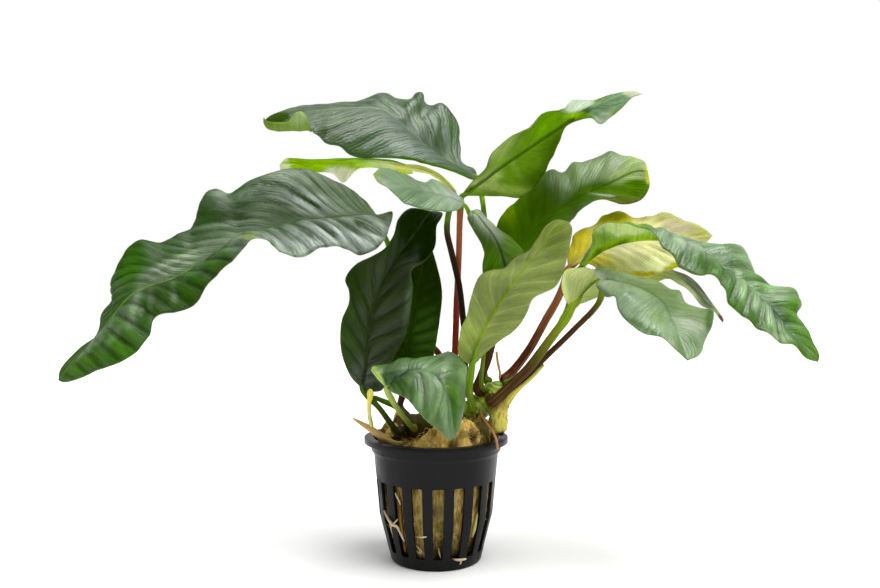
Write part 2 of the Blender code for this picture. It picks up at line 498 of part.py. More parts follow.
def make_pot():
    """The moulded pot: a turned wall with an outer and an inner face, left open where the slots are."""
    mesh = bmesh.new()
    slot = 2 * math.pi / SLOT_COUNT
    half = slot * SLOT_SHARE / 2
    angles = []
    for i in range(SLOT_COUNT):
        middle = i * slot - math.pi / 2 + SLOT_TURN
        angles += [middle - half, middle + half, middle + slot / 2]
    count = len(angles)

    def ring(radius, height):
        if radius == 0:
            point = mesh.verts.new((0, 0, height))
            return [point] * count
        return [mesh.verts.new((radius * math.cos(a), radius * math.sin(a), height)) for a in angles]

    outer = [ring(*station[0]) for station in POT_WALL]
    inner = [ring(*station[1]) for station in POT_WALL]

    def is_open(band, sector):
        return sector % 3 == 0 and (band in WALL_SLOT_RINGS or band == FLOOR_SLOT_RING)

    def face(*corners):
        mesh.faces.new(list(dict.fromkeys(corners)))

    bands = len(POT_WALL) - 1
    for band in range(bands):
        for sector in range(count):
            after = (sector + 1) % count
            if is_open(band, sector):
                continue
            face(outer[band][sector], outer[band][after], outer[band + 1][after], outer[band + 1][sector])
            face(inner[band][after], inner[band][sector], inner[band + 1][sector], inner[band + 1][after])
            for side, near in ((sector, sector - 1), (after, sector + 1)):
                if is_open(band, near % count):
                    low, high = (band, band + 1) if side == sector else (band + 1, band)
                    face(outer[low][side], outer[high][side], inner[high][side], inner[low][side])
            for edge, near in ((band, band - 1), (band + 1, band + 1)):
                if 0 <= near < bands and is_open(near, sector):
                    first, last = (after, sector) if edge == band else (sector, after)
                    face(outer[edge][first], outer[edge][last], inner[edge][last], inner[edge][first])
    for sector in range(count):
        after = (sector + 1) % count
        face(outer[-1][sector], outer[-1][after], inner[-1][after], inner[-1][sector])
    bmesh.ops.recalc_face_normals(mesh, faces=mesh.faces)
    data = bpy.data.meshes.new("net_pot")
    mesh.to_mesh(data)
    mesh.free()
    data.shade_smooth()
    data.set_sharp_from_angle(angle=math.radians(35))
    put("net_pot", data, BLACK_PLASTIC, 0.45)


def plug_height(x, y, ring):
    """The height of the plug's torn top, which is level where it meets the pot's wall."""
    angle = math.atan2(y, x)
    height = PLUG_TOP + PLUG_LUMP * math.sin(3 * angle + ring) * math.cos(5 * angle - 2 * ring)
    for tuft_x, tuft_y, tall, reach_x, reach_y in TUFTS:
        height += tall * math.exp(-((x - tuft_x) / reach_x) ** 2 - ((y - tuft_y) / reach_y) ** 2)
    return height


def make_plug():
    """The rockwool that fills the pot, just inside its wall, with a lumpy top."""
    clear = GAP + 0.0002
    profile = [(radius - clear, height) for radius, height in (station[1] for station in POT_WALL[4:10])]
    profile[0] = (PLUG_FOOT_RADIUS, WALL + clear)
    angles = [2 * math.pi * k / PLUG_SECTORS for k in range(PLUG_SECTORS)]
    points = [(0, 0, WALL + clear)]
    for radius, height in profile:
        points += [(radius * math.cos(angle), radius * math.sin(angle), height) for angle in angles]
    for ring, radius in enumerate(TOP_RADII):
        for angle in angles:
            x, y = radius * math.cos(angle), radius * math.sin(angle)
            points.append((x, y, plug_height(x, y, ring)))
    points.append((0, 0, PLUG_TOP))
    rings = len(profile) + len(TOP_RADII)
    faces = []
    for k in range(PLUG_SECTORS):
        after = (k + 1) % PLUG_SECTORS
        faces.append((0, 1 + after, 1 + k))
        for i in range(rings - 1):
            a = 1 + i * PLUG_SECTORS
            faces.append((a + k, a + after, a + PLUG_SECTORS + after, a + PLUG_SECTORS + k))
        a = 1 + (rings - 1) * PLUG_SECTORS
        faces.append((a + k, a + after, len(points) - 1))
    put("rockwool_plug", mesh_from("rockwool_plug", points, faces), ROCKWOOL_TAN, 0.95)


def main():
    for piece in list(bpy.data.objects):
        bpy.data.objects.remove(piece)
    make_pot()
    make_plug()
    make_rhizome()
    for name, leaf in LEAVES.items():
        make_leaf(name, leaf)
    for name, (colour, foot_radius, top_radius, route) in STALKS.items():
        make_stalk(name, colour, foot_radius, top_radius, route, LEAVES[name]["midrib"][0])
    for name, (colour, route) in THREADS.items():
        make_thread(name, colour, route)


if __name__ == "__main__":
    main()
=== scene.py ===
import math

import bmesh
import bpy
import numpy as np
from bpy.props import FloatProperty, FloatVectorProperty, IntProperty, PointerProperty
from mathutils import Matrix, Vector, noise


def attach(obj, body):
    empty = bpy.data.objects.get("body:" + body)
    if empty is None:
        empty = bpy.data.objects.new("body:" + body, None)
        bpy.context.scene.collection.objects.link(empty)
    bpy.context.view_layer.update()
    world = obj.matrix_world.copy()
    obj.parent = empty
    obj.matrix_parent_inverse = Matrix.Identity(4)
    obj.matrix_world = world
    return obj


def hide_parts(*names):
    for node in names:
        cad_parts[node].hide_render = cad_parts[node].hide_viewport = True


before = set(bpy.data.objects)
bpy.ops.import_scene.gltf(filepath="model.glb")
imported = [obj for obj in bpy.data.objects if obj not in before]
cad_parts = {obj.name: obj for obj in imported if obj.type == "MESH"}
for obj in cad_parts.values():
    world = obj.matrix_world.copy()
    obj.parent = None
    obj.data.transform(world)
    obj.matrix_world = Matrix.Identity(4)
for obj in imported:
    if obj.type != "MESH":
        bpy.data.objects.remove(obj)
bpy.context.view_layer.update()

bl_info = {
    "name": "Potted Aquarium Plant",
    "version": (1, 0, 0),
    "blender": (4, 5, 0),
    "location": "View3D > Sidebar > Plant",
    "description": "Leaves, stalks, roots, rhizome, rockwool and net pot of a potted aquarium plant",
    "category": "Object",
}

# Lengths are in metres unless a name ends in mm. Outline points, shape forms and colour patches are in
# millimetres on the upright plane through the pot's axis, as an eye in front of the pot sees them, and
# seen() carries them along the line of sight to their own depth behind that plane. Colours in the tables
# are as they look on a screen, 0 to 255.
MM = 0.001
EYE_DISTANCE = 0.3077
EYE_HEIGHT = 0.101
EYE_SIDE = 0.0015
PHOTO_WIDTH = 880
FOCAL_PIXELS = 800
SENSOR_MM = 36.0

# Net pot
WALL = 0.0013
SLOT_FOOT = 0.0046
SLOT_TOP = 0.0312
FOOT_SLOT_RADIUS = 0.0183
TOP_SLOT_RADIUS = 0.0229
SLOT_SHARE = 0.53
SLOT_CORNER = 0.0006
CORNER_STEPS = 4
SLOT_TURN = math.radians(2.3)
WALL_CUT = (0.0140, 0.0270)
FLOOR_SLOT_RADII = (0.0060, 0.0135)
FLOOR_CUT = (-0.002, 0.003)
BAND_RADIUS = 0.0248
RIM_RADIUS = 0.0275
FOOT_RADIUS = 0.0173
POT_HEIGHT = 0.0465
POT_SEGMENTS = 180
FLOOR_RADIUS = 3.0
FLOOR_SIDES = 96

# Rockwool plug, and the torn tufts on its top: (x, y, height, reach in x, reach in y)
GAP = 0.0004
PLUG_CLEAR = GAP + 0.0003
PLUG_TOP = 0.0443
PLUG_LUMP = 0.0006
PLUG_FOOT_RADIUS = 0.0150
PLUG_SEGMENTS = 240
PLUG_SIDE_ROWS = 70
PLUG_TOP_ROWS = 46
TUFTS = (
    (0.0030, -0.0125, 0.0095, 0.0080, 0.0040),
    (0.0125, -0.0135, 0.0066, 0.0046, 0.0036),
    (-0.0188, -0.0030, 0.0080, 0.0034, 0.0042),
    (0.0172, -0.0075, 0.0102, 0.0046, 0.0040),
    (-0.0142, 0.0020, 0.0110, 0.0028, 0.0040),
)

# Patterns of the rockwool: how often they come along x, y and z, and how far they are shifted
STRANDS = ((900, 900, 120), (0, 0, 0))
LUMPS = ((160, 160, 110), (0, 0, 0))
TEARS = ((150, 150, 0), (0, 0, 3))
FLAKES = ((520, 520, 0), (9, 0, 1))
KNOBS = ((230, 230, 0), (3, 0, 7))
DRIFTS = ((300, 300, 0), (0, 5, 2))

# The pot's wall from the middle of its floor to its rim: outer (radius, height), inner (radius, height).
# The first upright station is the one at FIRST_UPRIGHT, and the plug ends before PLUG_STATION.
FIRST_UPRIGHT = 4
PLUG_STATION = 10
POT_WALL = [
    ((0.0000, 0.0000), (0.0000, WALL)),
    ((0.0060, 0.0000), (0.0060, WALL)),
    ((0.0135, 0.0000), (0.0132, WALL)),
    ((0.0164, 0.0000), (0.0157, WALL)),
    ((FOOT_RADIUS, 0.0006), (0.0161, 0.0022)),
    ((0.0183, SLOT_FOOT), (0.0170, 0.0048)),
    ((0.0216, 0.0175), (0.0203, 0.0175)),
    ((0.0229, SLOT_TOP), (0.0216, SLOT_TOP)),
    ((0.0238, 0.0405), (0.0225, 0.0400)),
    ((BAND_RADIUS, 0.0418), (0.0232, 0.0418)),
    ((BAND_RADIUS, 0.0442), (0.0235, 0.0442)),
    ((RIM_RADIUS, 0.0446), (0.0237, 0.0452)),
    ((RIM_RADIUS, POT_HEIGHT), (0.0240, POT_HEIGHT)),
]

# Each leaf: its midrib from stalk to tip, and its margins left and right of it, looking to the tip
LEAVES = {
    "leaf_upper_left": {"midrib": [
        (16, 10, 146), (7.5, 8, 151), (1.5, 7, 154), (-6, 5, 160), (-14, 4, 167), (-20, 2, 171.5),
        (-33, -2, 172.5), (-48.5, -8, 171), (-66.5, -14, 167)], "left": [
        (14.5, 8, 144.9), (10.5, 5, 146.2), (4, 0, 148.8), (-3, -4, 150.7), (-9, -7, 152.2),
        (-15, -8.5, 152.9), (-23.5, -10, 153.3), (-28, -12, 153.1), (-33, -13, 154.5), (-37, -14, 157.5),
        (-42.5, -16, 159), (-45.5, -18, 162), (-49, -19, 163.5), (-57, -19, 163.5),
        (-64.5, -17, 164.2)], "right": [
        (14.6, 11, 149.2), (11.4, 12, 150.3), (9.5, 13, 152), (9.2, 16, 158), (8.7, 18, 165),
        (6.2, 19, 170.5), (2.2, 19, 174.2), (-1.6, 18.5, 173.4), (-4.4, 18, 174.8), (-5.4, 17.6, 178.2),
        (-7.6, 17.3, 178.1), (-9.6, 17, 176.2), (-15.5, 16, 176.4), (-18.6, 15.4, 178.2), (-21.6, 15, 178.4),
        (-24.5, 14, 177), (-30, 12, 175), (-37, 9, 174.6), (-45, 5, 174), (-56, -3, 172.3),
        (-64, -10, 169.3)]},
    "leaf_long_left": {"midrib": [
        (-16.6, 4, 131.6), (-33, 2, 131), (-48.5, -1, 129.5), (-60, -4, 127.5), (-72, -8, 123.5),
        (-87.5, -14, 114.5), (-99.5, -19, 107.5), (-116, -24, 101), (-128, -28, 87.5),
        (-145.3, -32, 67.7)], "left": [
        (-17.2, 0, 128.6), (-18.2, -2, 126), (-19.2, -6, 123), (-23.5, -12, 118), (-29.5, -15, 116),
        (-35, -17, 118.5), (-44, -20, 119), (-51, -22, 115), (-56, -23, 115.3), (-61, -25, 117.5),
        (-65, -26, 121.5), (-71, -27, 121.5), (-76, -27, 116.5), (-84, -28, 109), (-89, -30, 103.5),
        (-91.5, -32, 98.5), (-96.5, -33, 95), (-108, -36, 92), (-110, -38, 85.2), (-115.6, -39, 78.2),
        (-122, -39, 74.4), (-130.5, -38, 71.5), (-137, -36, 68.5), (-143, -33, 67)], "right": [
        (-17, 6, 132.8), (-19.5, 7, 132.2), (-22, 8, 131), (-24.5, 11, 134), (-29, 13, 138.5), (-35, 13, 143),
        (-41, 12, 145.5), (-48.5, 10, 148.5), (-56, 8, 149.2), (-62, 6, 148), (-71.5, 3, 144.5),
        (-76.5, 1, 141), (-80, 0, 139.5), (-84.5, -1, 141.5), (-88, -2, 140.5), (-91, -4, 136),
        (-94.5, -7, 126), (-98.5, -9, 124.5), (-106, -12, 121), (-113.5, -14, 122), (-118, -15, 119.5),
        (-121, -17, 115), (-125, -19, 104.5), (-124, -20, 99.5), (-128, -22, 93), (-129.5, -25, 85.5),
        (-137, -28, 80), (-144.5, -31, 72)]},
    "leaf_back_left": {"midrib": [
        (-10.8, 22, 150.4), (-18, 26, 151.5), (-29, 33, 152), (-41, 42, 151.5), (-52, 52, 151.3),
        (-60.2, 58, 150.8)], "left": [
        (-17, 18, 152), (-27, 20, 152.5), (-38, 27, 152.5), (-48, 38, 152.5), (-57.6, 53, 153)], "right": [
        (-9, 30, 147.5), (-15, 38, 147), (-24, 44, 149.5), (-30, 48, 149), (-36, 51, 143.7), (-40, 52, 147.3),
        (-48, 56, 147.8), (-55, 59, 148.6), (-59.6, 59, 148.4)]},
    "leaf_small_left": {"midrib": [
        (11.2, -16, 135.4), (5, -20, 138), (-4, -25, 140), (-14, -31, 143.5), (-24.3, -38, 147)], "left": [
        (8, -23, 133.2), (1.5, -31, 132.7), (-6, -36, 134), (-12, -39, 136), (-18.5, -42, 141.5),
        (-22.3, -41, 144)], "right": [
        (10, -13, 138), (7, -12, 140), (3.5, -13, 142.5), (-1.5, -15, 145), (-4.5, -18, 144), (-14, -24, 148),
        (-18, -29, 149.2), (-22, -34, 149)]},
    "leaf_small_right": {"midrib": [
        (13.5, -18, 133), (16.2, -20, 131), (18.8, -21, 127.7), (22, -21, 123.5), (24.2, -21, 119),
        (26.2, -22, 112), (27, -23, 103.5)], "left": [
        (16.5, -16, 133.5), (19.5, -14, 130), (26, -14, 124.5), (29.5, -14, 122), (33.5, -15, 117.5),
        (33, -18, 112), (30.5, -21, 106.5)], "right": [
        (12, -19, 130.5), (14, -21, 126), (17.5, -22, 120), (18.5, -23, 117), (17.8, -25, 112),
        (18.3, -26, 108), (22, -25, 104.5)]},
    "leaf_upper_right": {"midrib": [
        (9.6, 0, 138.8), (17, -1, 144), (24.6, 0, 149.6), (40, 4, 160), (50, 8, 166.5), (60, 8, 172.3),
        (73, 5, 177.5), (79.6, 2, 178)], "left": [
        (17, 7, 138.7), (26.5, 14, 138.5), (32.5, 16, 138), (38, 19, 142.5), (41, 20, 146), (44, 21, 152.5),
        (47.5, 20, 159.5), (50.5, 16, 166), (55, 12, 168), (60, 7, 168.5), (63.5, 2, 166.3), (67.3, 0, 169.2),
        (72.5, 0, 174), (75.5, 0, 177)], "right": [
        (15, -5, 145.5), (19, -8, 149), (21, -11, 154.5), (23.5, -13, 157.5), (27.5, -13, 161),
        (32.5, -12, 163), (37, -10, 166), (40.5, -7, 170.3), (46.5, -2, 171.5), (50, 6, 173), (53, 13, 175.8),
        (60, 15, 175.5), (67, 12, 177.5), (74.5, 7, 179)]},
    "leaf_high_right": {"midrib": [
        (24.6, 6, 110.4), (34, 10, 122), (45.8, 15, 132.7), (57.3, 19, 139), (67.7, 21, 144), (76.5, 21, 148),
        (81.5, 20, 148)], "left": [
        (23, 11, 118), (23.5, 17, 127), (26.5, 22, 132.5), (32.5, 26, 138), (36, 27, 141), (41, 29, 147),
        (45, 30, 149), (49, 30, 148), (52.7, 31, 151.5), (56, 31, 151.5), (63, 32, 154.2), (67, 32, 156),
        (71.5, 31, 153.8), (76.5, 29, 153.5), (80, 25, 152)], "right": [
        (31, 2, 110), (38, 2, 115), (45, 4, 122), (52.5, 8, 129.5), (55.5, 10, 133), (62, 13, 137),
        (65, 14, 137.3), (71.5, 14, 135.5), (78.5, 15, 137), (82, 17, 142)]},
    "leaf_front_upright": {"midrib": [
        (13.5, -16, 73.5), (15.4, -19, 80.8), (18.5, -22, 88), (23.3, -26, 96.2), (29.2, -30, 105),
        (34.6, -34, 112), (39.6, -37, 118), (45, -39, 125), (51, -41, 128.8)], "left": [
        (15.5, -15, 74.6), (19.2, -15, 78.5), (24.2, -16, 82.7), (31.2, -18, 88), (35, -21, 94),
        (36.5, -23, 98), (40, -26, 101), (45.5, -29, 103.5), (48.8, -33, 109), (50.5, -36, 115.4),
        (51.7, -38, 121), (52.3, -40, 126.5)], "right": [
        (9, -19, 76.5), (8.5, -21, 80), (9.6, -25, 87.3), (12, -28, 93.5), (14.6, -33, 103), (18, -37, 108.5),
        (22, -38, 110.2), (26.2, -39, 110.8), (30, -41, 114.6), (35.4, -43, 117.3), (38.5, -44, 121.5),
        (42.3, -45, 127.5), (46.9, -44, 129.5)]},
    "leaf_dark_centre": {"midrib": [
        (-28.5, -14, 64.6), (-26.7, -16, 75), (-25.5, -17, 88), (-22, -17, 103), (-14, -15, 116),
        (-8, -13, 124), (-2, -11, 133)], "left": [
        (-33, -18, 69.5), (-36.5, -21, 79), (-36.5, -23, 90), (-33.5, -22, 98), (-33.6, -21, 102.5),
        (-35, -21, 106.5), (-31.2, -20, 112.2), (-25, -19, 115.4), (-19.8, -18, 118.6), (-16.5, -17, 123.5),
        (-14.5, -16, 130), (-10, -14, 134)], "right": [
        (-25.2, -14.4, 63.5), (-21.2, -15, 63.8), (-18.6, -16, 67.5), (-17, -17, 75), (-12.3, -19, 84),
        (-10, -20, 94), (-9, -20, 104), (-9.5, -19, 110), (-4.6, -19, 113.5), (-0.5, -18, 119),
        (0.3, -16, 127), (2.5, -12, 132)]},
    "leaf_dark_behind": {"midrib": [
        (-13.8, 2, 66), (-10.8, 0, 79.6), (-8.8, -2, 91), (-7, -2, 102.7), (-4.6, 0, 113.5),
        (-2.3, 2, 120.4)], "left": [
        (-18, -1, 75), (-21, -3, 88), (-19, -3, 102), (-11, -1, 114)], "right": [
        (-7, 0, 68), (-1.2, -3, 76.6), (0.2, -5, 82.6), (1.4, -6, 91.2), (2.3, -5, 102), (0.2, -3, 112.5)]},
    "leaf_front_low": {"midrib": [
        (-19.2, -27, 65), (-14, -29, 69), (-7, -31, 71.5), (-1, -33, 69.6), (3.5, -36, 63), (5.4, -38, 54.6),
        (5.8, -38, 44.6)], "left": [
        (-22.5, -29, 68.5), (-25, -27, 72.3), (-19.5, -24, 73.8), (-13.5, -22, 75.8), (-2.7, -20, 77),
        (6, -20, 79), (9.5, -22, 77), (11.2, -24, 73.5), (11.5, -28, 67), (10.8, -33, 58.8), (9.6, -35, 53),
        (7.5, -37, 46.5)], "right": [
        (-17.5, -30, 63.5), (-14.2, -33, 62), (-10.4, -36, 60), (-7.5, -38, 56.2), (-3.5, -40, 52),
        (2, -40, 48), (4, -39, 45.3)]},
    "leaf_yellow": {"midrib": [
        (50.8, 8, 111.2), (57.3, 9, 115.8), (67, 10, 119.6), (78.5, 11, 121.5), (92, 11, 122),
        (106.3, 12, 123.5)], "left": [
        (50.5, 10, 115), (52, 13, 120.8), (52.5, 15, 123.5), (56, 17, 126), (60.8, 19, 127), (64.2, 21, 131),
        (70.4, 22, 132.5), (74, 22, 131), (83.5, 22, 131), (88, 22, 132), (92.3, 21, 130.5),
        (97.5, 19, 128.8), (102.7, 16, 126.2)], "right": [
        (55, 6, 112.8), (59, 4.5, 112.5), (62, 3, 110.8), (69.6, 1, 109.2), (78, 0, 107.3), (84.6, -1, 108.5),
        (88, 0, 110), (93, 1, 111.2), (99.5, 5, 114), (103, 9, 119.5)]},
    "leaf_long_right": {"midrib": [
        (54.2, -5, 110.4), (60.8, -8, 117), (70.8, -12, 121.5), (84.2, -16, 123), (94, -19, 121),
        (101.5, -22, 117.5), (108, -26, 113.3), (113.5, -30, 107.7), (120.4, -34, 103.8), (126.5, -38, 97),
        (132.3, -42, 90), (147, -48, 74.8)], "left": [
        (58, -2, 116.5), (63, 0, 121.5), (71, 2, 124.5), (79, 2, 124.5), (85.5, 0, 123.5), (91.5, -2, 122.8),
        (98.5, -4, 120.3), (109.6, -8, 119), (113.5, -10, 120.4), (117, -12, 119.5), (119.8, -15, 116),
        (122, -18, 110), (124.6, -21, 107), (130, -25, 103.6), (137, -29, 103), (139.6, -32, 100.5),
        (140.8, -34, 97), (139.3, -37, 92.7), (142, -41, 88.5), (144.6, -44, 83),
        (147.3, -47, 77.7)], "right": [
        (58.5, -12, 116), (60.5, -18, 122.5), (62, -21, 126), (67, -24, 127.7), (78, -28, 127),
        (83.5, -32, 124.5), (86.5, -35, 119.5), (90.5, -38, 116), (94, -40, 111.5), (98.5, -42, 108.5),
        (105.5, -43, 108.3), (110, -44, 104), (111.5, -45, 99), (115, -46, 94.6), (120.4, -47, 91),
        (123, -48, 87.7), (127.3, -49, 85.8), (132.5, -50, 82), (137.7, -50, 81.3), (142.3, -50, 76.3)]},
    "leaf_front_right": {"midrib": [
        (65.4, -14, 106.2), (72.7, -19, 105), (80.4, -25, 102.3), (88, -32, 97), (91, -37, 90.8),
        (93.8, -43, 83.5), (96.7, -49, 75.3)], "left": [
        (62, -12, 107.3), (60.8, -11, 110), (63, -9, 111.2), (68.8, -8, 110), (74.6, -9, 108.5),
        (80.4, -11, 107), (86.2, -14, 105.4), (90.4, -17, 102.7), (93.8, -20, 102), (95.8, -23, 97.7),
        (101.5, -26, 95.8), (106.3, -30, 95), (106.5, -34, 90.4), (103.8, -40, 83.5),
        (101.3, -46, 77.5)], "right": [
        (61.5, -18, 105), (65, -24, 100), (68.8, -29, 99.6), (70, -33, 95), (74.6, -38, 89.2),
        (80.4, -42, 85.8), (86.2, -45, 84.6), (92, -49, 79.6)]},
    "leaf_pale_right": {"midrib": [
        (51.5, -10, 95.8), (61, 0, 105.8), (74.6, 9, 112), (88.8, 15, 108.8), (94.5, 15, 106.8),
        (99.5, 14, 103), (103.5, 13, 98.4), (107.8, 11, 94.8), (110.4, 10, 89.8)], "left": [
        (57.3, -5, 97.8), (63, -1, 100), (74.6, 8, 102.7), (84, 12, 105.3), (88.8, 12.5, 107),
        (94, 13, 104.6), (98.5, 12.5, 101.2), (102, 12, 96.6), (105, 11, 95.4), (107.2, 10.6, 94.2),
        (109.6, 10, 90.6)], "right": [
        (49.5, -13, 99.5), (48.3, -14, 104), (49.8, -13, 110), (55.5, -9, 111), (60, -3, 110.5),
        (64, 6, 109.8), (69, 12, 113), (76, 15, 117), (84, 18, 116), (91, 19, 110.6), (96.5, 18, 108.4),
        (100.8, 16.5, 104.8), (105, 14, 99.2), (108.2, 12, 94.9), (110.6, 10.4, 91)]},
}

# Each leaf stalk: its slot, the radii at its foot and at the blade, and its route from the rhizome up, which
# ends at the base of its blade
STALKS = {
    "leaf_upper_left": ("stalk_green", 1.4, 0.9, [(18.7, 5, 69), (20, 3, 83.5), (20.8, 3, 102.7),
        (20, 4, 118), (18.5, 8, 131.5), (17.5, 12, 139)]),
    "leaf_long_left": ("stalk_brown", 1.4, 0.9, [(2, 6, 59), (1.5, 8, 77), (-2.7, 9, 82.3), (-8, 10, 95),
        (-13.8, 10, 108.5), (-17.5, 10, 117), (-18.8, 10, 121), (-20.6, 9, 125.5), (-19.4, 7, 130)]),
    "leaf_back_left": ("stalk_dark", 1.2, 1.2, [(11.2, 2.5, 64.5), (11.5, 1, 81.5), (10.4, -1, 91),
        (8.8, -1, 104.6), (6.2, 1, 116), (4.2, 5, 125), (5, 10, 132.7), (7, 15, 139.2), (3.5, 18, 144),
        (-2.3, 20, 148)]),
    "leaf_small_left": ("stalk_green", 0.9, 0.7, [(11.5, -5, 64), (15, -6, 79.6), (17.7, -9, 95),
        (19.6, -11, 104.6), (20, -11, 113.5), (17.3, -12, 122.7), (13.5, -14, 130.4)]),
    "leaf_small_right": ("stalk_green", 0.9, 0.7, [(17.5, -7, 66), (18.5, -9, 79.6), (20, -12, 95),
        (21.5, -14, 104.6), (21.5, -15, 113.5), (18.5, -15, 122.7), (15, -15.5, 128.8)]),
    "leaf_upper_right": ("stalk_brown", 1.4, 1.1, [(6.5, 5, 60), (7.3, 5, 79.6), (8, 5, 98.8), (8.8, 4, 118),
        (9.2, 2, 131.5)]),
    "leaf_high_right": ("stalk_dark", 1.7, 1.5, [(15.8, -3, 64.5), (17.6, -2.4, 70), (20.4, -2, 77.7),
        (23.5, 1, 95)]),
    "leaf_front_upright": ("stalk_green", 1.5, 1.2, [(13.5, -10, 58), (12.8, -13, 66)]),
    "leaf_dark_centre": ("stalk_green", 1.15, 0.95, [(-14.6, -9, 47.5), (-18, -11, 52), (-22.3, -12.5, 57.7),
        (-25.4, -13, 60.8)]),
    "leaf_dark_behind": ("stalk_brown", 1.3, 1, [(-13.8, 4, 58), (-13, 3.5, 62)]),
    "leaf_front_low": ("stalk_green", 1.1, 0.95, [(-8.5, -10, 49), (-13.8, -18, 55.4), (-17, -23, 60.4)]),
    "leaf_yellow": ("stalk_brown", 1.9, 1.3, [(27.7, 4, 69.5), (30.5, 4, 72.5), (36, 4, 80), (42.3, 5, 91.2),
        (46.7, 6, 99), (49.8, 7, 106.5)]),
    "leaf_long_right": ("stalk_green", 1.2, 1, [(30.5, -2, 68.5), (41.5, -2, 80.5), (50, -1, 94),
        (52.8, -3, 104.6)]),
    "leaf_front_right": ("stalk_dark", 1.2, 1, [(29, -5.5, 63.5), (41.2, -6, 75.8), (53, -8, 87.3),
        (62.5, -11, 97.5)]),
    "leaf_pale_right": ("stalk_dark", 2.1, 1.5, [(21.8, -9, 59.6), (27, -8.8, 64.2), (35, -9, 71.8),
        (43.5, -9.5, 83), (49.5, -10, 91.2)]),
}

# Stalks and shoots that look other than their slot's name says, and the material of each
SKINS = {
    "leaf_back_left": "stalk_pale_top", "leaf_front_right": "stalk_green_tip",
    "leaf_dark_behind": "stalk_dark", "leaf_pale_right": "stalk_green_top", "leaf_yellow": "stalk_red",
    "leaf_long_left": "stalk_green_end", "leaf_upper_right": "stalk_tan_top",
    "leaf_dark_centre": "stalk_olive", "leaf_front_low": "stalk_pale_green",
    "stalk_bare_left": "stalk_olive", "shoot_young_left": "shoot_yellow", "shoot_young_right": "shoot_pale"}

# Roots and shoots: slot, then (across, depth, up, radius) along each. Those in ROOTED start in the rhizome.
THREADS = {
    "stalk_bare_left": ("stalk_dark", [(-10.6, -4.5, 52.2, 1.1), (-12.8, -6.2, 55.2, 1.05),
        (-15.6, -7.8, 57.6, 1), (-19, -9, 59.3, 1), (-24.4, -10, 61.5, 0.8)]),
    "shoot_young_left": ("stalk_green", [(-24.5, -9.4, 49.3, 0.7), (-25, -10, 51.2, 0.8),
        (-25.6, -12.5, 54, 0.8), (-25.8, -15.5, 58.5, 0.8), (-25.4, -17, 61.2, 1), (-25.3, -17.2, 62.8, 1.3),
        (-25.3, -17.3, 64.6, 0.6)]),
    "shoot_young_right": ("stalk_green", [(26.7, -7.5, 58.4, 1.7), (28.4, -8.3, 61.2, 1.5),
        (32.3, -8.5, 65, 0.85), (37.3, -7.5, 69.4, 0.75), (41.5, -5.5, 74, 0.6)]),
    "root_over_rim_left": ("root_tan", [(-32, -4, 53.2, 0.35), (-29, -6, 51.4, 0.8), (-26.3, -8.5, 49.8, 1.1),
        (-23.8, -10, 48.2, 1.3), (-20.8, -11, 46, 1.3), (-16.3, -11.5, 43.6, 1.1), (-12.5, -10.5, 43.4, 1)]),
    "root_over_rim_right": ("root_red", [(17, -10, 55.5, 0.4), (18, -12.5, 53.5, 0.45), (20.4, -15, 50, 0.5),
        (22.2, -18, 47.2, 0.5), (23.2, -19, 44.6, 0.45), (23.7, -19, 41, 0.35)]),
    "root_thread": ("root_tan", [(24.6, 1, 70.3, 0.5), (23.7, 2, 75, 0.5), (23.2, 3, 79, 0.5)]),
    "rhizome_branch": ("rhizome_green", [(25.8, -5.5, 60.5, 2.2), (24.3, -6, 56, 3.3), (24, -6.5, 51, 3.4),
        (24.7, -7, 46.6, 2.7)]),
}
ROOTED = ("stalk_bare_left", "root_over_rim_right", "root_thread", "rhizome_branch")
# How high a thread's lumps are, and their scale: of the threads that differ, and of all others
UNEVEN = {"rhizome_branch": (0.0032, 420.0)}
EVEN_THREAD = (0.00035, 380.0)

# The rhizome's axis and radius, in true millimetres, (across, depth, up, radius)
RHIZOME = [(-12, -1, 50.2, 3.8), (-8, 0, 50.4, 4.8), (-3, 0, 50.6, 4.9), (1, 0, 51.0, 4.5), (6, 0, 52, 5.1),
           (11, 0, 54, 4.6), (15, 0, 56.4, 5.0), (19, 1, 59.4, 4.6), (22, 1, 62.4, 4.9), (23.6, 1, 65.4, 4.0),
           (24.2, 1, 67.6, 2.0)]
RHIZOME_ROWS = 14
FOOT_SINK_MM = 1.2

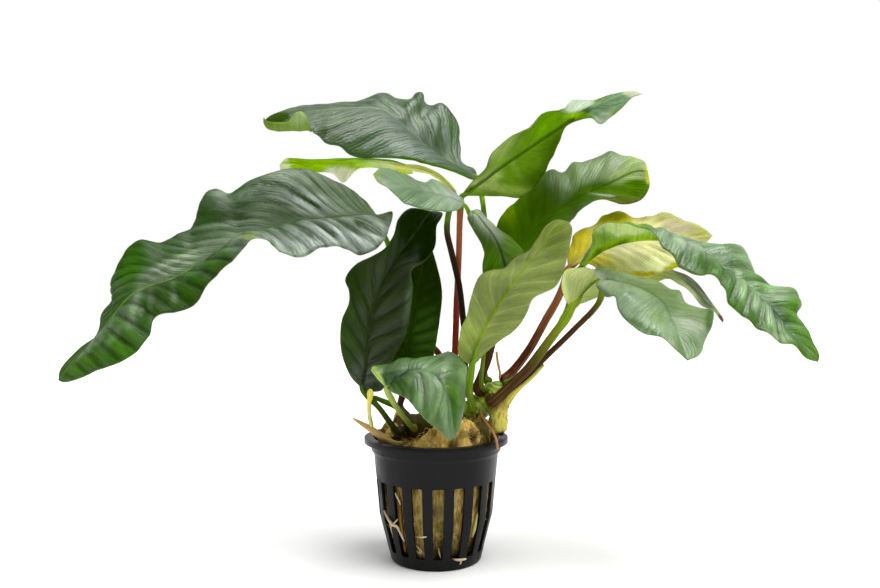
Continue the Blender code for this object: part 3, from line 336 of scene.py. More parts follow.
# Thin roots between the plug and the pot's wall: the material of each bunch and its routes, as (across, up,
# radius, how far out from the plug)
FINE_ROOTS = {
    "fine_roots_pale": ("root_pale", [
        [(-16.6, 26.4, 0.2, 0.6), (-15.9, 24.8, 0.3, 0.9), (-15, 23, 0.35, 1), (-14.2, 21.4, 0.3, 0.8),
         (-13.7, 19.8, 0.2, 0.4)],
        [(-20.4, 19.2, 0.3, 1.2), (-19.4, 16.4, 0.45, 2.2), (-18, 13.8, 0.55, 2.9), (-16.6, 12.2, 0.6, 2.9),
         (-15.2, 11.6, 0.5, 2.3), (-14, 9.6, 0.45, 1.2), (-12.9, 7.4, 0.4, 0.9), (-12.2, 5.6, 0.2, 0.4)],
        [(-18, 13.6, 0.35, 2.5), (-17.4, 11.6, 0.35, 2.3), (-17, 9.4, 0.25, 1.2), (-16.4, 7.4, 0.2, 0.5)],
        [(-17, 12, 0.35, 2.6), (-15.6, 13.4, 0.3, 1.9), (-14.6, 14.6, 0.2, 0.8)],
        [(-8.2, 7.6, 0.15, 0.5), (-6.4, 7.4, 0.25, 1.2), (-4.6, 7.5, 0.25, 2.2), (-3.6, 7.6, 0.15, 2.3)],
        [(-8, 4.6, 0.2, 0.5), (-6.9, 3.4, 0.3, 0.8), (-5.9, 2.4, 0.3, 0.8), (-5.3, 1.2, 0.2, 0.4)],
        [(-7.6, 2.4, 0.2, 0.4), (-6.6, 1.6, 0.25, 0.7), (-5.8, 1.9, 0.15, 0.3)],
        [(6.2, -0.9, 0.25, 1.4), (8, -1.3, 0.4, 2.4), (9.8, -1.2, 0.45, 2.6), (11.6, -0.9, 0.3, 2.2)],
        [(8.9, -1.2, 0.3, 2.4), (9.6, -2.2, 0.3, 2.5), (9, -3, 0.2, 2.4)],
        [(-13, 0.6, 0.25, 0.6), (-12, -0.2, 0.3, 1.2), (-11, -1.2, 0.25, 0.9)],
        [(1, 3.4, 0.15, 0.4), (1.3, 1.2, 0.25, 0.7), (1.9, -0.8, 0.15, 0.3)]]),
    "fine_roots_orange": ("root_orange", [
        [(-14, 23, 0.3, 0.3), (-13.9, 19, 0.55, 0.5), (-13.6, 14, 0.55, 0.5), (-12.8, 8, 0.4, 0.3)],
        [(-12.6, 7, 0.3, 0.4), (-12.2, 4.6, 0.4, 0.5), (-11.8, 1.8, 0.25, 0.3)]]),
    "fine_roots_lime": ("root_lime", [
        [(16.3, 18.6, 0.3, 0.4), (15.7, 15.4, 0.45, 0.8), (15.1, 12.4, 0.7, 0.9), (14.5, 9.8, 0.6, 0.8),
         (13.9, 7.4, 0.3, 0.3)]]),
}
ROOT_DEPTH = -0.018
ROOT_ROUNDS = 6

# How each blade is finished, where it differs from PLAIN_BLADE. top and under: colours of its two faces; rib
# and keel: colours of the midrib there; veins, slant and swell: side veins on the left and right half, how
# far they lean to the tip as a share of the blade, and how high the tissue stands between them; ruffle: how
# far the margins wave; camber: how high each half arches, as a share of its width; skin: the kind of its
# materials; painted_crease_shade: how strongly painted shade darkens the hollows and painted light brightens
# the swellings (below 0 the other way round); painted_vein_shade: how much painted shade darkens the top
# along the sunken side veins; keel_mm: how far the midrib stands out below; rib_reach_mm and keel_reach_mm:
# how far the midrib's colours reach; bends: where the veins of one half lean more, as (half, middle and
# spread along the blade, lean)
BLADES = {
    "leaf_upper_left": dict(slot="leaf_grey_green", top=(46, 66, 44), under=(122, 160, 40),
        rib=(112, 128, 100), keel=(150, 175, 90), veins=(13, 11), slant=(0.3, 0.24), swell=(0.55, 0.5),
        ruffle=0.4, camber=(0.08, 0.02), painted_crease_shade=0.6, painted_vein_shade=0.3),
    "leaf_long_left": dict(slot="leaf_grey_green", top=(40, 66, 28), under=(92, 135, 30), rib=(96, 122, 62),
        keel=(150, 175, 70), veins=(24, 28), slant=(-0.04, 0.16), swell=(0.95, 0.6), ruffle=0.7,
        camber=(0.14, 0), painted_crease_shade=0.8, painted_vein_shade=0.45, bends=[(1, 0.45, 0.14, 0.11)]),
    "leaf_back_left": dict(slot="leaf_bright_green", top=(86, 130, 20), under=(150, 190, 0),
        rib=(150, 180, 40), keel=(222, 224, 160), veins=(9, 9), slant=(0.25, 0.25), swell=(0.3, 0.3),
        ruffle=0.4, camber=(0.08, 0.08)),
    "leaf_small_left": dict(slot="leaf_grey_green", top=(98, 126, 90), under=(120, 150, 70),
        rib=(120, 145, 105), keel=(150, 175, 90), veins=(9, 9), slant=(0.2, 0.2), swell=(0.4, 0.35),
        ruffle=0.4, camber=(0.1, 0.05), skin="soft"),
    "leaf_small_right": dict(slot="leaf_mid_green", top=(60, 84, 22), under=(66, 98, 20), rib=(10, 24, 2),
        keel=(80, 110, 40), veins=(8, 8), slant=(0.22, 0.22), swell=(0.25, 0.25), ruffle=0.3,
        camber=(0.08, 0.08)),
    "leaf_upper_right": dict(slot="leaf_bright_green", top=(96, 124, 84), under=(126, 166, 30),
        rib=(100, 130, 70), keel=(64, 96, 8), veins=(12, 12), slant=(0.16, 0.16), swell=(0.45, 0.45),
        ruffle=0.5, camber=(0.12, 0.12), keel_reach_mm=0.8),
    "leaf_high_right": dict(slot="leaf_mid_green", top=(58, 82, 28), under=(92, 125, 30), rib=(44, 76, 8),
        keel=(120, 150, 60), veins=(12, 12), slant=(0.14, 0.14), swell=(0.4, 0.3), ruffle=0.6,
        camber=(0.06, 0.02), skin="soft"),
    "leaf_front_upright": dict(slot="leaf_pale_green", top=(60, 90, 40), under=(154, 166, 92),
        rib=(120, 150, 60), keel=(136, 166, 30), veins=(9, 9), slant=(0.15, 0.15), swell=(0.55, 0.55),
        ruffle=0.4, camber=(0.08, 0.08), keel_reach_mm=0.45, painted_crease_shade=-0.6),
    "leaf_dark_centre": dict(slot="leaf_dark_green", top=(34, 42, 14), under=(50, 78, 26), rib=(18, 26, 16),
        keel=(80, 100, 40), veins=(10, 10), slant=(0.16, 0.16), swell=(0.6, 0.6), ruffle=0.7,
        camber=(0.08, 0.08), painted_crease_shade=0.8, painted_vein_shade=0.35),
    "leaf_dark_behind": dict(slot="leaf_dark_green", top=(10, 34, 0), under=(50, 80, 26), rib=(14, 40, 4),
        keel=(80, 100, 40), veins=(13, 13), slant=(0.12, 0.12), swell=(1, 1), ruffle=1.5, camber=(0.08, 0.08),
        painted_crease_shade=0.8),
    "leaf_front_low": dict(slot="leaf_mid_green", top=(74, 104, 56), under=(150, 175, 80),
        rib=(104, 134, 100), keel=(150, 175, 90), veins=(5, 5), slant=(0.2, 0.22), swell=(0.75, 0.85),
        ruffle=0.8, camber=(0.14, 0.08), painted_crease_shade=0.25),
    "leaf_yellow": dict(slot="leaf_wilted_yellow", top=(208, 204, 136), under=(196, 188, 110),
        rib=(200, 192, 140), keel=(206, 200, 120), veins=(12, 12), slant=(0.26, 0.24), swell=(0.5, 0.5),
        ruffle=0.9, camber=(0.08, 0.08), skin="wilted"),
    "leaf_long_right": dict(slot="leaf_mid_green", top=(58, 92, 38), under=(168, 200, 92), rib=(76, 106, 76),
        keel=(176, 212, 16), keel_mm=1.5, keel_reach_mm=1.7, veins=(16, 16), slant=(0.08, 0.08),
        swell=(1.1, 1.1), ruffle=0.8, camber=(0.08, 0.12), painted_crease_shade=0.4, painted_vein_shade=0.15),
    "leaf_front_right": dict(slot="leaf_grey_green", top=(140, 163, 130), under=(120, 150, 70),
        rib=(150, 172, 142), keel=(150, 175, 90), veins=(7, 7), slant=(0.16, 0.16), swell=(0.28, 0.28),
        ruffle=0.5, camber=(0.04, 0.1), painted_crease_shade=0.12, skin="soft"),
    # Its underside colour is painted lighter, as painted light, for it lies under the leaves above
    "leaf_pale_right": dict(slot="leaf_pale_green", top=(84, 104, 76), under=(226, 238, 152),
        rib=(90, 110, 80), keel=(120, 152, 30), veins=(9, 9), slant=(0.2, 0.2), swell=(0.3, 0.3), ruffle=0.5,
        camber=(0.1, 0.1), skin="soft"),
}
PLAIN_BLADE = dict(
    skin="leaf", painted_crease_shade=0.35, painted_vein_shade=0, rib_reach_mm=0.6, keel_mm=0.75, keel_reach_mm=0.6, bends=[])

# Local forms that stand out of a blade's top face: (across, up) of the middle, the reach along and
# across, how far the long way is turned from level in degrees, and the height
FORMS = {
    "leaf_upper_left": [(-6.7, 173.5, 3, 1.2, 85, 0.9), (-14, 168, 2.2, 1.2, -20, 0.6),
        (0, 165, 6, 1.4, 80, 0.7), (-27, 163.5, 8, 1.3, 22, 0.6), (-33, 167.5, 8, 1.2, 12, 0.5)],
    "leaf_long_left": [(-104, 112, 14, 2.2, 22, 1), (-55, 137, 9, 1.4, -28, -1.1),
        (-38, 122, 2.6, 5, 20, 0.5), (-26, 126, 7, 1.2, -28, -0.8), (-34, 126.5, 7, 1.1, -32, -0.7),
        (-42, 125.5, 6, 1, -36, -0.6), (-50, 124.5, 6, 1, -38, -0.6), (-79, 134, 10, 1, -4, -0.8),
        (-112, 95, 1.4, 6, -6, -0.8)],
    "leaf_front_low": [(1.5, 66, 4, 7, 0, 1.6), (-14, 71, 5, 2, 10, 0.8)],
    "leaf_long_right": [(101, 115, 5, 3, -20, 1), (129, 92, 7, 2.4, -55, 1)],
    "leaf_front_right": [(73, 100, 4.5, 3, -30, 1), (90, 92, 4, 6, -50, -0.6)],
}

# Patches of another colour on a blade's top and underside, painted one after the other, the last ones over
# the midrib and the painted crease shade: (across, up) of the middle, the reach along and across, how far the
# long way is turned from level in degrees, the colour, and how much of it shows. Where it shows fully, as 1,
# the patch has a firm edge; the others are soft. Besides the blades' own colours, many patches are painted
# light and shade: pale painted sheen where a waxy top mirrors light, pale painted light where light falls on
# or through a part, and dark painted shade along margins, in creases, behind folds and under other leaves.
PATCHES = {
    # leaf_upper_left: dark painted shade along the lower margin and behind the lip that folds back up
    "leaf_upper_left": {"top": [
        (-40, 165.2, 7, 1, -14, (24, 42, 18), 0.9), (6.5, 166, 2.6, 6, 12, (40, 70, 24), 0.8),
        (-6.8, 176.3, 1.6, 2.4, 0, (40, 74, 24), 0.8), (-15, 174, 6, 2, 0, (36, 62, 34), 0.5),
        (-24, 174, 5, 1.6, -12, (40, 68, 40), 0.5), (-23, 164, 10, 1, 14, (74, 94, 72), 0.8),
        (-34, 167.5, 12, 0.9, 8, (70, 92, 66), 0.8), (-23.5, 167.3, 8, 2.4, 5, (66, 84, 58), 0.8),
        (-6, 168, 4, 3, 0, (62, 82, 54), 0.7), (-14, 166, 6, 2.6, -25, (88, 96, 96), 0.7),
        (-8, 160, 9, 2.4, -38, (78, 88, 84), 0.8), (-8, 155.8, 9, 2.2, -18, (102, 114, 106), 0.6),
        (-26, 160.5, 10, 0.7, 12, (26, 46, 22), 0.7), (-39, 164.5, 6, 0.7, 0, (26, 46, 22), 0.8),
        (-3.5, 166, 1, 5, 8, (36, 58, 34), 0.7), (2.8, 164, 0.9, 5, 8, (30, 52, 28), 0.6),
        (-42.5, 163, 7, 1.7, -38, (40, 60, 28), 0.95), (-35, 158, 8, 2.3, -32, (38, 58, 22), 0.95),
        (-28, 154.2, 5, 1.6, -22, (42, 64, 24), 0.9)], "top last": [
        (-61, 168.4, 5.5, 2.4, 12, (38, 60, 4), 1), (1, 149.3, 14, 1.3, -18, (58, 96, 8), 1),
        (-12.5, 152.8, 4.5, 1, 0, (60, 100, 8), 1)], "under": [
        (-58, 166, 20, 9, 0, (128, 158, 66), 1), (-53, 169.5, 3.5, 3, 0, (164, 186, 124), 0.9)]},
    # leaf_long_left: pale grey painted sheen over much of the top, and dark painted shade in the creases and
    # along the lower margin
    "leaf_long_left": {"top": [
        (-43, 134.5, 14, 5, -12, (226, 230, 236), 0.97), (-65, 131.5, 7, 3, 0, (66, 84, 62), 0.85),
        (-50, 145, 13, 3, -10, (162, 172, 162), 0.95), (-34, 138, 12, 5, -45, (150, 158, 148), 0.85),
        (-66, 141, 5, 3, 25, (30, 46, 26), 0.7), (-42, 121, 26, 7, 2, (148, 156, 152), 0.9),
        (-30, 129, 12, 2.2, -10, (136, 142, 136), 0.8), (-26, 126, 7, 1.3, -28, (18, 28, 18), 1),
        (-34, 126.5, 7, 1.1, -32, (22, 34, 22), 0.95), (-42, 125.5, 6, 0.9, -36, (30, 44, 28), 0.95),
        (-50, 124.5, 6, 0.9, -38, (36, 52, 32), 0.9), (-58, 123.5, 5, 0.9, -40, (40, 56, 36), 0.9),
        (-53, 139, 11, 1, -30, (12, 26, 10), 1), (-64, 137, 10, 0.8, -14, (22, 40, 20), 0.95),
        (-82, 132, 12, 6, 0, (14, 34, 6), 0.97), (-68, 133, 12, 0.9, -8, (80, 100, 76), 0.8),
        (-74, 138.5, 6, 1.2, 22, (84, 100, 84), 0.7), (-84, 139.5, 3, 1.4, 0, (112, 124, 104), 0.7),
        (-80, 127.5, 12, 0.8, 6, (84, 104, 78), 0.8), (-98, 113, 15, 2.2, 22, (120, 132, 108), 0.85),
        (-98, 116.5, 12, 0.7, 20, (40, 64, 26), 0.7), (-106, 109, 12, 0.7, 24, (46, 70, 26), 0.7),
        (-83, 121.5, 9, 1.4, 12, (104, 118, 92), 0.8), (-118, 113, 6, 9, 0, (38, 76, 12), 0.9),
        (-97, 101, 12, 5, 25, (30, 58, 8), 0.95), (-106, 98, 7, 5, 20, (24, 46, 10), 0.95),
        (-79, 134, 10, 0.7, -4, (12, 28, 8), 0.95), (-60, 132, 12, 0.7, -8, (60, 78, 56), 0.8),
        (-84, 114, 6, 4, 35, (40, 70, 14), 0.85), (-101, 101, 0.8, 5, 0, (84, 104, 62), 0.4),
        (-110, 99, 0.9, 5, 0, (84, 104, 66), 0.4), (-116, 95, 1.4, 8, -14, (104, 122, 92), 0.8),
        (-112, 94, 1.2, 6, -6, (30, 56, 14), 0.8), (-121, 96, 1.2, 6, -30, (34, 60, 16), 0.8),
        (-121, 81, 6, 8, 0, (42, 78, 14), 0.85), (-124, 84, 1, 6, -40, (80, 108, 60), 0.6),
        (-137, 74, 9, 3.4, 28, (56, 92, 20), 0.9), (-136, 78, 8, 0.9, 36, (74, 100, 56), 0.7),
        (-53, 117.3, 9, 1.8, 0, (96, 108, 96), 0.8)], "top last": [
        (-71, 122.8, 2, 1, 0, (136, 156, 60), 0.9)]},
    "leaf_back_left": {"under": [
        (-37, 146, 6.5, 4.6, 0, (240, 232, 212), 1),
        (-30, 150.8, 12, 1.6, 0, (166, 198, 60), 0.7)], "under last": [
        (-59, 150.6, 2.8, 3.4, 12, (222, 224, 184), 1), (-42, 151.7, 17, 0.9, 0, (150, 188, 6), 1),
        (-14, 150.5, 9, 2, -5, (214, 220, 150), 0.95), (-13.6, 148.2, 2.6, 1.4, 0, (196, 200, 40), 0.95)]},
    "leaf_small_left": {"top": [
        (-23.5, 146, 1.6, 3.2, 20, (140, 172, 40), 0.9), (2, 137, 6, 3, -20, (128, 150, 118), 0.7),
        (-8, 139, 3, 3, 0, (76, 104, 64), 0.7), (-18, 143.5, 5, 3, -20, (124, 146, 116), 0.7),
        (-12, 145.5, 7, 1.6, -25, (70, 100, 60), 0.6), (7, 138, 4, 3, -30, (146, 152, 146), 0.7)]},
    "leaf_small_right": {"top": [
        (18.6, 128.6, 7, 2.4, -48, (144, 156, 132), 0.9), (30, 118, 6, 3, -40, (74, 108, 24), 0.8),
        (21.5, 111, 3, 8, 0, (62, 100, 6), 0.8)]},
    # leaf_upper_right: pale painted light and painted sheen on the upper left of the underside, on the fold
    # and at the tip
    "leaf_upper_right": {"under": [
        (21, 142.5, 9, 1.6, -10, (214, 230, 140), 0.9), (31, 141, 7, 1.2, -8, (180, 210, 90), 0.8),
        (24.5, 158, 8, 2.8, 46, (192, 214, 134), 0.95), (30, 150, 5, 1, -60, (170, 200, 90), 0.6),
        (20.5, 145.8, 4.5, 2.6, 38, (200, 220, 120), 0.8), (19.5, 149.5, 2.4, 5, 10, (150, 178, 80), 0.8),
        (35, 166, 5, 2.4, 32, (140, 176, 60), 0.7), (24, 156, 7, 3, 45, (176, 202, 100), 0.5),
        (42, 166, 6, 5, 40, (122, 182, 0), 0.8), (46, 156, 3, 7, -20, (84, 122, 4), 0.8),
        (40, 145, 4, 4, -20, (60, 96, 0), 0.7), (28, 146, 5, 4, 0, (110, 156, 14), 0.5),
        (20.5, 145.2, 4, 2.2, 30, (216, 232, 140), 0.8)], "under last": [
        (57, 169.8, 9, 1.2, 3, (146, 196, 20), 1), (54.5, 173.8, 6.5, 2.6, 14, (216, 228, 206), 1),
        (58.8, 171.9, 3.4, 0.8, 14, (40, 78, 20), 0.9), (67, 174, 9, 3.2, 28, (146, 180, 138), 1),
        (64, 168.2, 4, 2.2, 25, (186, 204, 180), 1), (77, 178.3, 5, 1.6, 5, (236, 238, 212), 1)]},
    # leaf_high_right: dark painted shade on the left part under the leaf above, pale painted sheen on the
    # upper right, and a painted highlight along the rolled lower edge
    "leaf_high_right": {"top": [
        (33, 128, 10, 12, 40, (50, 80, 0), 1), (28, 132, 2.5, 7, 12, (96, 122, 0), 0.7),
        (41, 137, 6, 10, 30, (46, 70, 0), 0.95), (56, 147, 9, 6, 15, (92, 116, 58), 0.85),
        (67, 151, 9, 4, 10, (116, 138, 86), 0.9), (77, 149, 4, 6, 0, (152, 176, 90), 0.85),
        (71, 146, 6, 2.6, 18, (146, 170, 88), 0.9), (60, 141, 9, 1.8, 22, (44, 76, 4), 0.7),
        (76.5, 141.6, 5.5, 3.3, 10, (68, 108, 0), 1), (54, 137, 9, 2.4, 40, (54, 84, 6), 0.95),
        (68, 140.5, 12, 2.6, 4, (70, 104, 8), 0.95)], "top last": [
        (81.6, 148, 1.4, 4.6, 0, (190, 198, 50), 1), (65, 138.8, 4, 0.4, -8, (190, 202, 180), 0.5),
        (71.5, 137.2, 8.5, 1.5, 1, (84, 92, 16), 1)]},
    "leaf_front_upright": {"under": [
        (33, 111, 6, 14, -35, (142, 156, 92), 0.5), (45, 122, 5, 6, 0, (120, 138, 50), 0.6),
        (40, 115, 9, 0.9, 8, (120, 130, 66), 0.6), (38, 108, 9, 0.9, 10, (124, 134, 68), 0.5),
        (12, 84, 5, 8, -20, (178, 196, 96), 0.7)]},
    # leaf_dark_centre: near-black painted shade at the base of the blade, low among the stalks
    "leaf_dark_centre": {"top": [
        (-6, 124, 9, 12, 20, (0, 6, 0), 1), (-34.5, 85, 3.2, 18, 0, (36, 60, 14), 0.9),
        (-32, 106, 5, 5, 0, (24, 42, 8), 0.9), (-18, 118, 4, 4, 0, (26, 44, 12), 0.8),
        (-13, 92, 5, 12, 0, (28, 42, 12), 0.6), (-14, 103, 4, 8, 10, (20, 32, 8), 0.6),
        (-28, 68, 4, 6, 0, (34, 44, 38), 0.6)], "top last": [
        (-23, 65.6, 6, 2.6, 8, (10, 22, 6), 1), (-10, 102, 1, 9, -8, (50, 74, 40), 0.9)]},
    "leaf_dark_behind": {"top": [
        (-6, 107, 8, 9, 0, (0, 0, 0), 1), (-4, 87, 6, 8, 0, (40, 70, 14), 0.95)]},
    "leaf_front_low": {"top": [
        (-3, 66, 7, 5, 60, (124, 150, 114), 0.9), (5, 65, 4.5, 1.4, -35, (84, 128, 34), 0.85),
        (7, 61, 3, 1, -40, (92, 138, 40), 0.8), (-8, 66, 1, 5, -25, (40, 66, 32), 0.85),
        (3, 57, 1.8, 9, 10, (124, 152, 110), 0.8), (6.2, 55, 1.8, 8, 4, (48, 86, 26), 0.9),
        (-8.5, 62, 1, 6, -20, (52, 80, 40), 0.8), (5, 75, 8, 2.5, 0, (96, 124, 84), 0.8),
        (10, 70, 1.6, 6, 0, (116, 150, 96), 0.8), (-14, 72.5, 7, 2.2, 8, (112, 136, 96), 0.85),
        (-16.5, 68, 5, 3.4, -20, (40, 72, 24), 0.9), (-13, 65, 4, 2, -30, (50, 84, 26), 0.7)], "top last": [
        (-13.3, 69.4, 6.5, 0.7, 31, (84, 112, 78), 0.9),
        (-22.6, 69.3, 5.5, 1.25, -58, (166, 190, 96), 1)], "under last": [
        (-13.3, 69.4, 8, 2, 31, (84, 112, 78), 1)]},
    "leaf_yellow": {"top": [
        (55, 119, 5, 9, -20, (206, 190, 20), 0.97), (53, 113, 3, 4, 0, (206, 196, 70), 0.8),
        (68, 130, 9, 2.8, 0, (206, 200, 30), 1), (86, 130.5, 9, 2, 0, (160, 162, 84), 0.9),
        (101, 124.5, 6, 2.6, -20, (150, 160, 50), 0.9), (76, 115.5, 12, 4, -12, (212, 208, 156), 0.9),
        (83, 111.6, 6, 2.2, 12, (250, 250, 206), 0.9), (89.5, 117.5, 3, 2.6, -30, (190, 192, 128), 0.6),
        (62, 113.5, 6, 2.6, 8, (196, 184, 40), 0.8),
        (93, 126.5, 6, 2.2, -8, (168, 158, 122), 0.9)], "top last": [
        (76, 108.3, 12, 1.1, 2, (204, 184, 0), 1), (92, 111.8, 5, 1.2, 22, (182, 180, 10), 1)]},
    # leaf_long_right: pale painted light on the underside near the stalk
    "leaf_long_right": {"under": [
        (72, 125.8, 9, 2.4, 0, (232, 244, 184), 0.95),
        (64, 122, 3.5, 3, 20, (140, 186, 60), 0.7)], "under last": [
        (61.2, 117.2, 3.2, 0.35, 40, (84, 120, 0), 0.9), (69, 120.8, 4.6, 0.35, 20, (84, 120, 0), 0.9),
        (78.5, 122.4, 6, 0.35, 5, (88, 124, 0), 0.9), (130, 94.5, 8, 3, -45, (60, 90, 60), 1)], "top last": [
        (77, 127.6, 8, 1.3, -6, (110, 146, 50), 1)], "top": [
        (90, 122, 6, 2.5, -20, (124, 146, 118), 0.8), (98, 114, 1.2, 5, -12, (56, 84, 50), 0.7),
        (97, 119, 5, 2, -12, (140, 158, 134), 0.8), (93, 114, 3, 6, 20, (104, 128, 88), 0.7),
        (106, 117.5, 9, 2, -8, (112, 134, 106), 0.85), (104, 111.5, 7, 1.4, -20, (56, 92, 30), 0.8),
        (112, 113, 7, 1, -24, (50, 78, 44), 0.8), (119, 116, 3, 6, 20, (104, 130, 92), 0.8),
        (114, 104, 1.2, 8, 10, (44, 78, 36), 0.8), (117.5, 102, 1.2, 8, 12, (122, 150, 104), 0.8),
        (121, 97, 1, 8, 14, (48, 84, 36), 0.7), (133, 101, 7, 2.4, -12, (112, 146, 94), 0.8),
        (137.5, 96, 3, 4.5, 0, (76, 118, 40), 0.85), (126, 93, 2.4, 9, 32, (116, 144, 102), 0.8),
        (130, 92, 1, 8, 34, (46, 80, 34), 0.7), (121.5, 88, 7.5, 1.4, -36, (44, 84, 16), 0.95),
        (131, 84, 4.5, 1.6, -20, (140, 160, 124), 0.9), (144, 80, 4, 6, 30, (66, 106, 36), 0.9)]},
    # leaf_front_right: pale painted light on the half that slopes away from the light
    "leaf_front_right": {"top": [
        (66, 108, 8, 4, -10, (192, 206, 180), 0.95), (89, 100, 13, 4, -34, (190, 208, 174), 0.9),
        (99.5, 92, 7, 6, 0, (228, 238, 218), 0.95), (84, 92, 4, 2.4, -20, (110, 142, 66), 0.7),
        (79, 88.5, 8, 1.2, -28, (44, 78, 26), 0.85), (96, 80, 6, 5, -50, (94, 120, 76), 0.9),
        (105, 91, 1.4, 5, -6, (84, 116, 66), 0.8), (80, 104.5, 13, 3.4, -18, (196, 210, 184), 0.95),
        (80, 107.2, 15, 2.2, -17, (238, 246, 232), 0.95)], "top last": [
        (64.5, 101.5, 5, 1, -38, (60, 84, 56), 0.85)]},
    # leaf_pale_right: near-white painted light on the underside, which lies under the leaves above
    "leaf_pale_right": {"under": [
        (55, 103, 8, 8, 0, (250, 255, 176), 0.95)], "under last": [
        (99, 103, 12, 5, -52, (112, 122, 106), 1), (100, 101.5, 8, 0.8, -52, (66, 84, 56), 0.8),
        (86, 107.5, 5, 2, -6, (196, 206, 140), 0.9), (95, 103.6, 7, 1.5, -38, (206, 214, 166), 0.9),
        (109.6, 91, 2.4, 2.4, 0, (110, 96, 90), 1)]},
}

# Margins that fold back up and show the underside: side, share of the half where the fold runs, and along
# the blade (share of its length, rise, step towards the eye) of the free edge beyond the fold
LIPS = {
    "leaf_upper_left": [(-1, 0.74, [
        (0.762, 0.0, 0.0), (0.776, 2.4, 0.9), (0.79, 5.8, 1.2), (0.808, 6.9, 1.2), (0.828, 6.6, 1.2),
        (0.842, 4.6, 1.4), (0.858, 3.2, 1.5), (0.885, 2.9, 1.5), (0.95, 2.9, 1.5), (0.985, 2.4, 1.2),
        (1.0, 0.8, 0.4)])],
}

# Columns on each half of a blade's mesh, how much closer together they stand at the midrib, and the step
# from one row to the next
HALF_COLUMNS = 24
COLUMN_POWER = 1.4
ROW_SPACING_MM = 0.85

# Side veins: how they curve to the tip, how far they wander, and how far those of the right half are shifted.
# Swellings between them: their roundness, how deep the veins lie, and the half width that is still narrow
# for them. Waves of the margins: their share of the ruffle, a step of the seed, and their number.
VEIN_CURVE = 0.85
VEIN_WANDER = 0.35
RIGHT_SHIFT = 0.4
PILLOW_POWER = 0.8
VEIN_DEPTH = 0.55
NARROW_WIDTH = 0.012
RUFFLES = ((0.6, 3, 12), (0.4, 5, 30))

# The groove along a blade's midrib and the reach of its keel, how much thinner the blade is at its margins,
# and the least share of its thickness that is left where it is narrow
GROOVE_MM = 0.22
GROOVE_REACH_MM = 0.55
KEEL_SPREAD_MM = 0.62
MARGIN_THINNING = 0.5
NARROWEST = 0.12

# How dark and how light the painted crease shade may make a colour, how strongly it does so on the underside,
# how wide the painted shade along a sunken vein is, how strong the midrib's colour is, and the edges of
# patches: steepness and cut
PAINTED_SHADE_LIMITS = (0.35, 1.6)
PAINTED_SHADE_BELOW = 0.4
PAINTED_VEIN_SHADE_WIDTH = 0.11
RIB_STRENGTH = 0.85
FIRM_EDGE = (3.5, 0.8)
SOFT_EDGE = (1.6, 0)

# A stalk's flare at the rhizome and its swelling below the blade, each with its reach, how far the swelling
# is from the blade, and the stalk's run along the underside of the midrib: length, depth and taper
FLARE = 0.45
FLARE_REACH = 0.0035
SWELLING = 0.22
SWELLING_REACH = 0.003
SWELLING_BELOW = 0.004
BLADE_RUN_MM = 9.0
RUN_DEPTH_MM = 0.15
RUN_TAPER = 0.75

# Blade materials, top face and underside: roughness, gloss of the wax, shade of the side veins, share of
# light that shines through, tint of that light, and strength of the streaks
LEAF_SKINS = {
    "leaf": ((0.32, 0.6, 0.86, 0.22, 0.85, 0.34), (0.5, 0.2, 1.12, 0.45, 0.15, 0.12)),
    "soft": ((0.36, 0.55, 0.93, 0.22, 0.85, 0.15), (0.5, 0.2, 1.12, 0.45, 0.15, 0.10)),
    "wilted": ((0.5, 0.25, 1.22, 0.25, 0.10, 0.05), (0.5, 0.2, 1.15, 0.25, 0.10, 0.12)),
}

# Stalk and root materials: colours at the foot, at the top and of the streaks, then, where they differ from
# the usual, the roughness, the shares of the length between which the colour changes, and a colour between
# with the shares where it comes in
ROD_SKINS = {
    "rhizome_green": ((168, 130, 66), (52, 38, 14), (112, 74, 24), 0.6, (0.86, 0.95),
        ((206, 196, 92), 0.15, 0.6)),
    "stalk_tan_top": ((138, 48, 32), (96, 136, 20), (130, 66, 36), 0.45, (0.81, 0.86),
        ((166, 98, 60), 0.45, 0.75)),
    "stalk_green_end": ((104, 40, 26), (104, 150, 16), (140, 78, 40), 0.45, (0.68, 0.74)),
    "stalk_red": ((76, 36, 20), (150, 92, 54), (150, 100, 62)),
    "stalk_dark": ((62, 40, 18), (78, 66, 20), (110, 76, 40)),
    "stalk_pale_top": ((40, 24, 12), (216, 218, 120), (70, 50, 20), 0.45, (0.70, 0.76),
        ((84, 122, 16), 0.54, 0.62)),
    "stalk_green_top": ((66, 44, 20), (128, 156, 26), (112, 84, 40), 0.45, (0.35, 0.9)),
    "stalk_green_tip": ((64, 42, 20), (124, 150, 26), (104, 74, 38), 0.45, (0.66, 0.88)),
    "stalk_green": ((84, 104, 16), (108, 152, 20), (150, 170, 60)),
    "stalk_olive": ((34, 40, 8), (72, 104, 10), (64, 72, 16)),
    "stalk_pale_green": ((92, 102, 30), (170, 188, 90), (130, 146, 60)),
    "shoot_yellow": ((206, 200, 122), (218, 206, 84), (220, 214, 140), 0.45, (0.5, 0.65)),
    "shoot_pale": ((200, 190, 84), (196, 198, 110), (130, 130, 40)),
    "root_tan": ((206, 170, 110), (186, 158, 104), (160, 110, 50), 0.6),
    "root_red": ((142, 92, 48), (182, 128, 88), (116, 70, 36), 0.55),
    "root_pale": ((196, 176, 130), (224, 212, 188), (160, 120, 76), 0.6),
    "root_orange": ((140, 86, 34), (170, 124, 60), (90, 52, 20), 0.5),
    "root_lime": ((176, 180, 90), (214, 214, 140), (110, 116, 30), 0.5),
}

# Rockwool materials: light and middle tone of the fibres, dark tone of the patches low down and on the left
# and of the painted shade in the hollows, green growth
WOOL_SKINS = {
    "rockwool": ((216, 188, 112), (128, 103, 46), (26, 16, 2), (74, 86, 10)),
    "fibre": ((206, 168, 94), (146, 106, 46), (60, 40, 12), (96, 98, 20)),
}

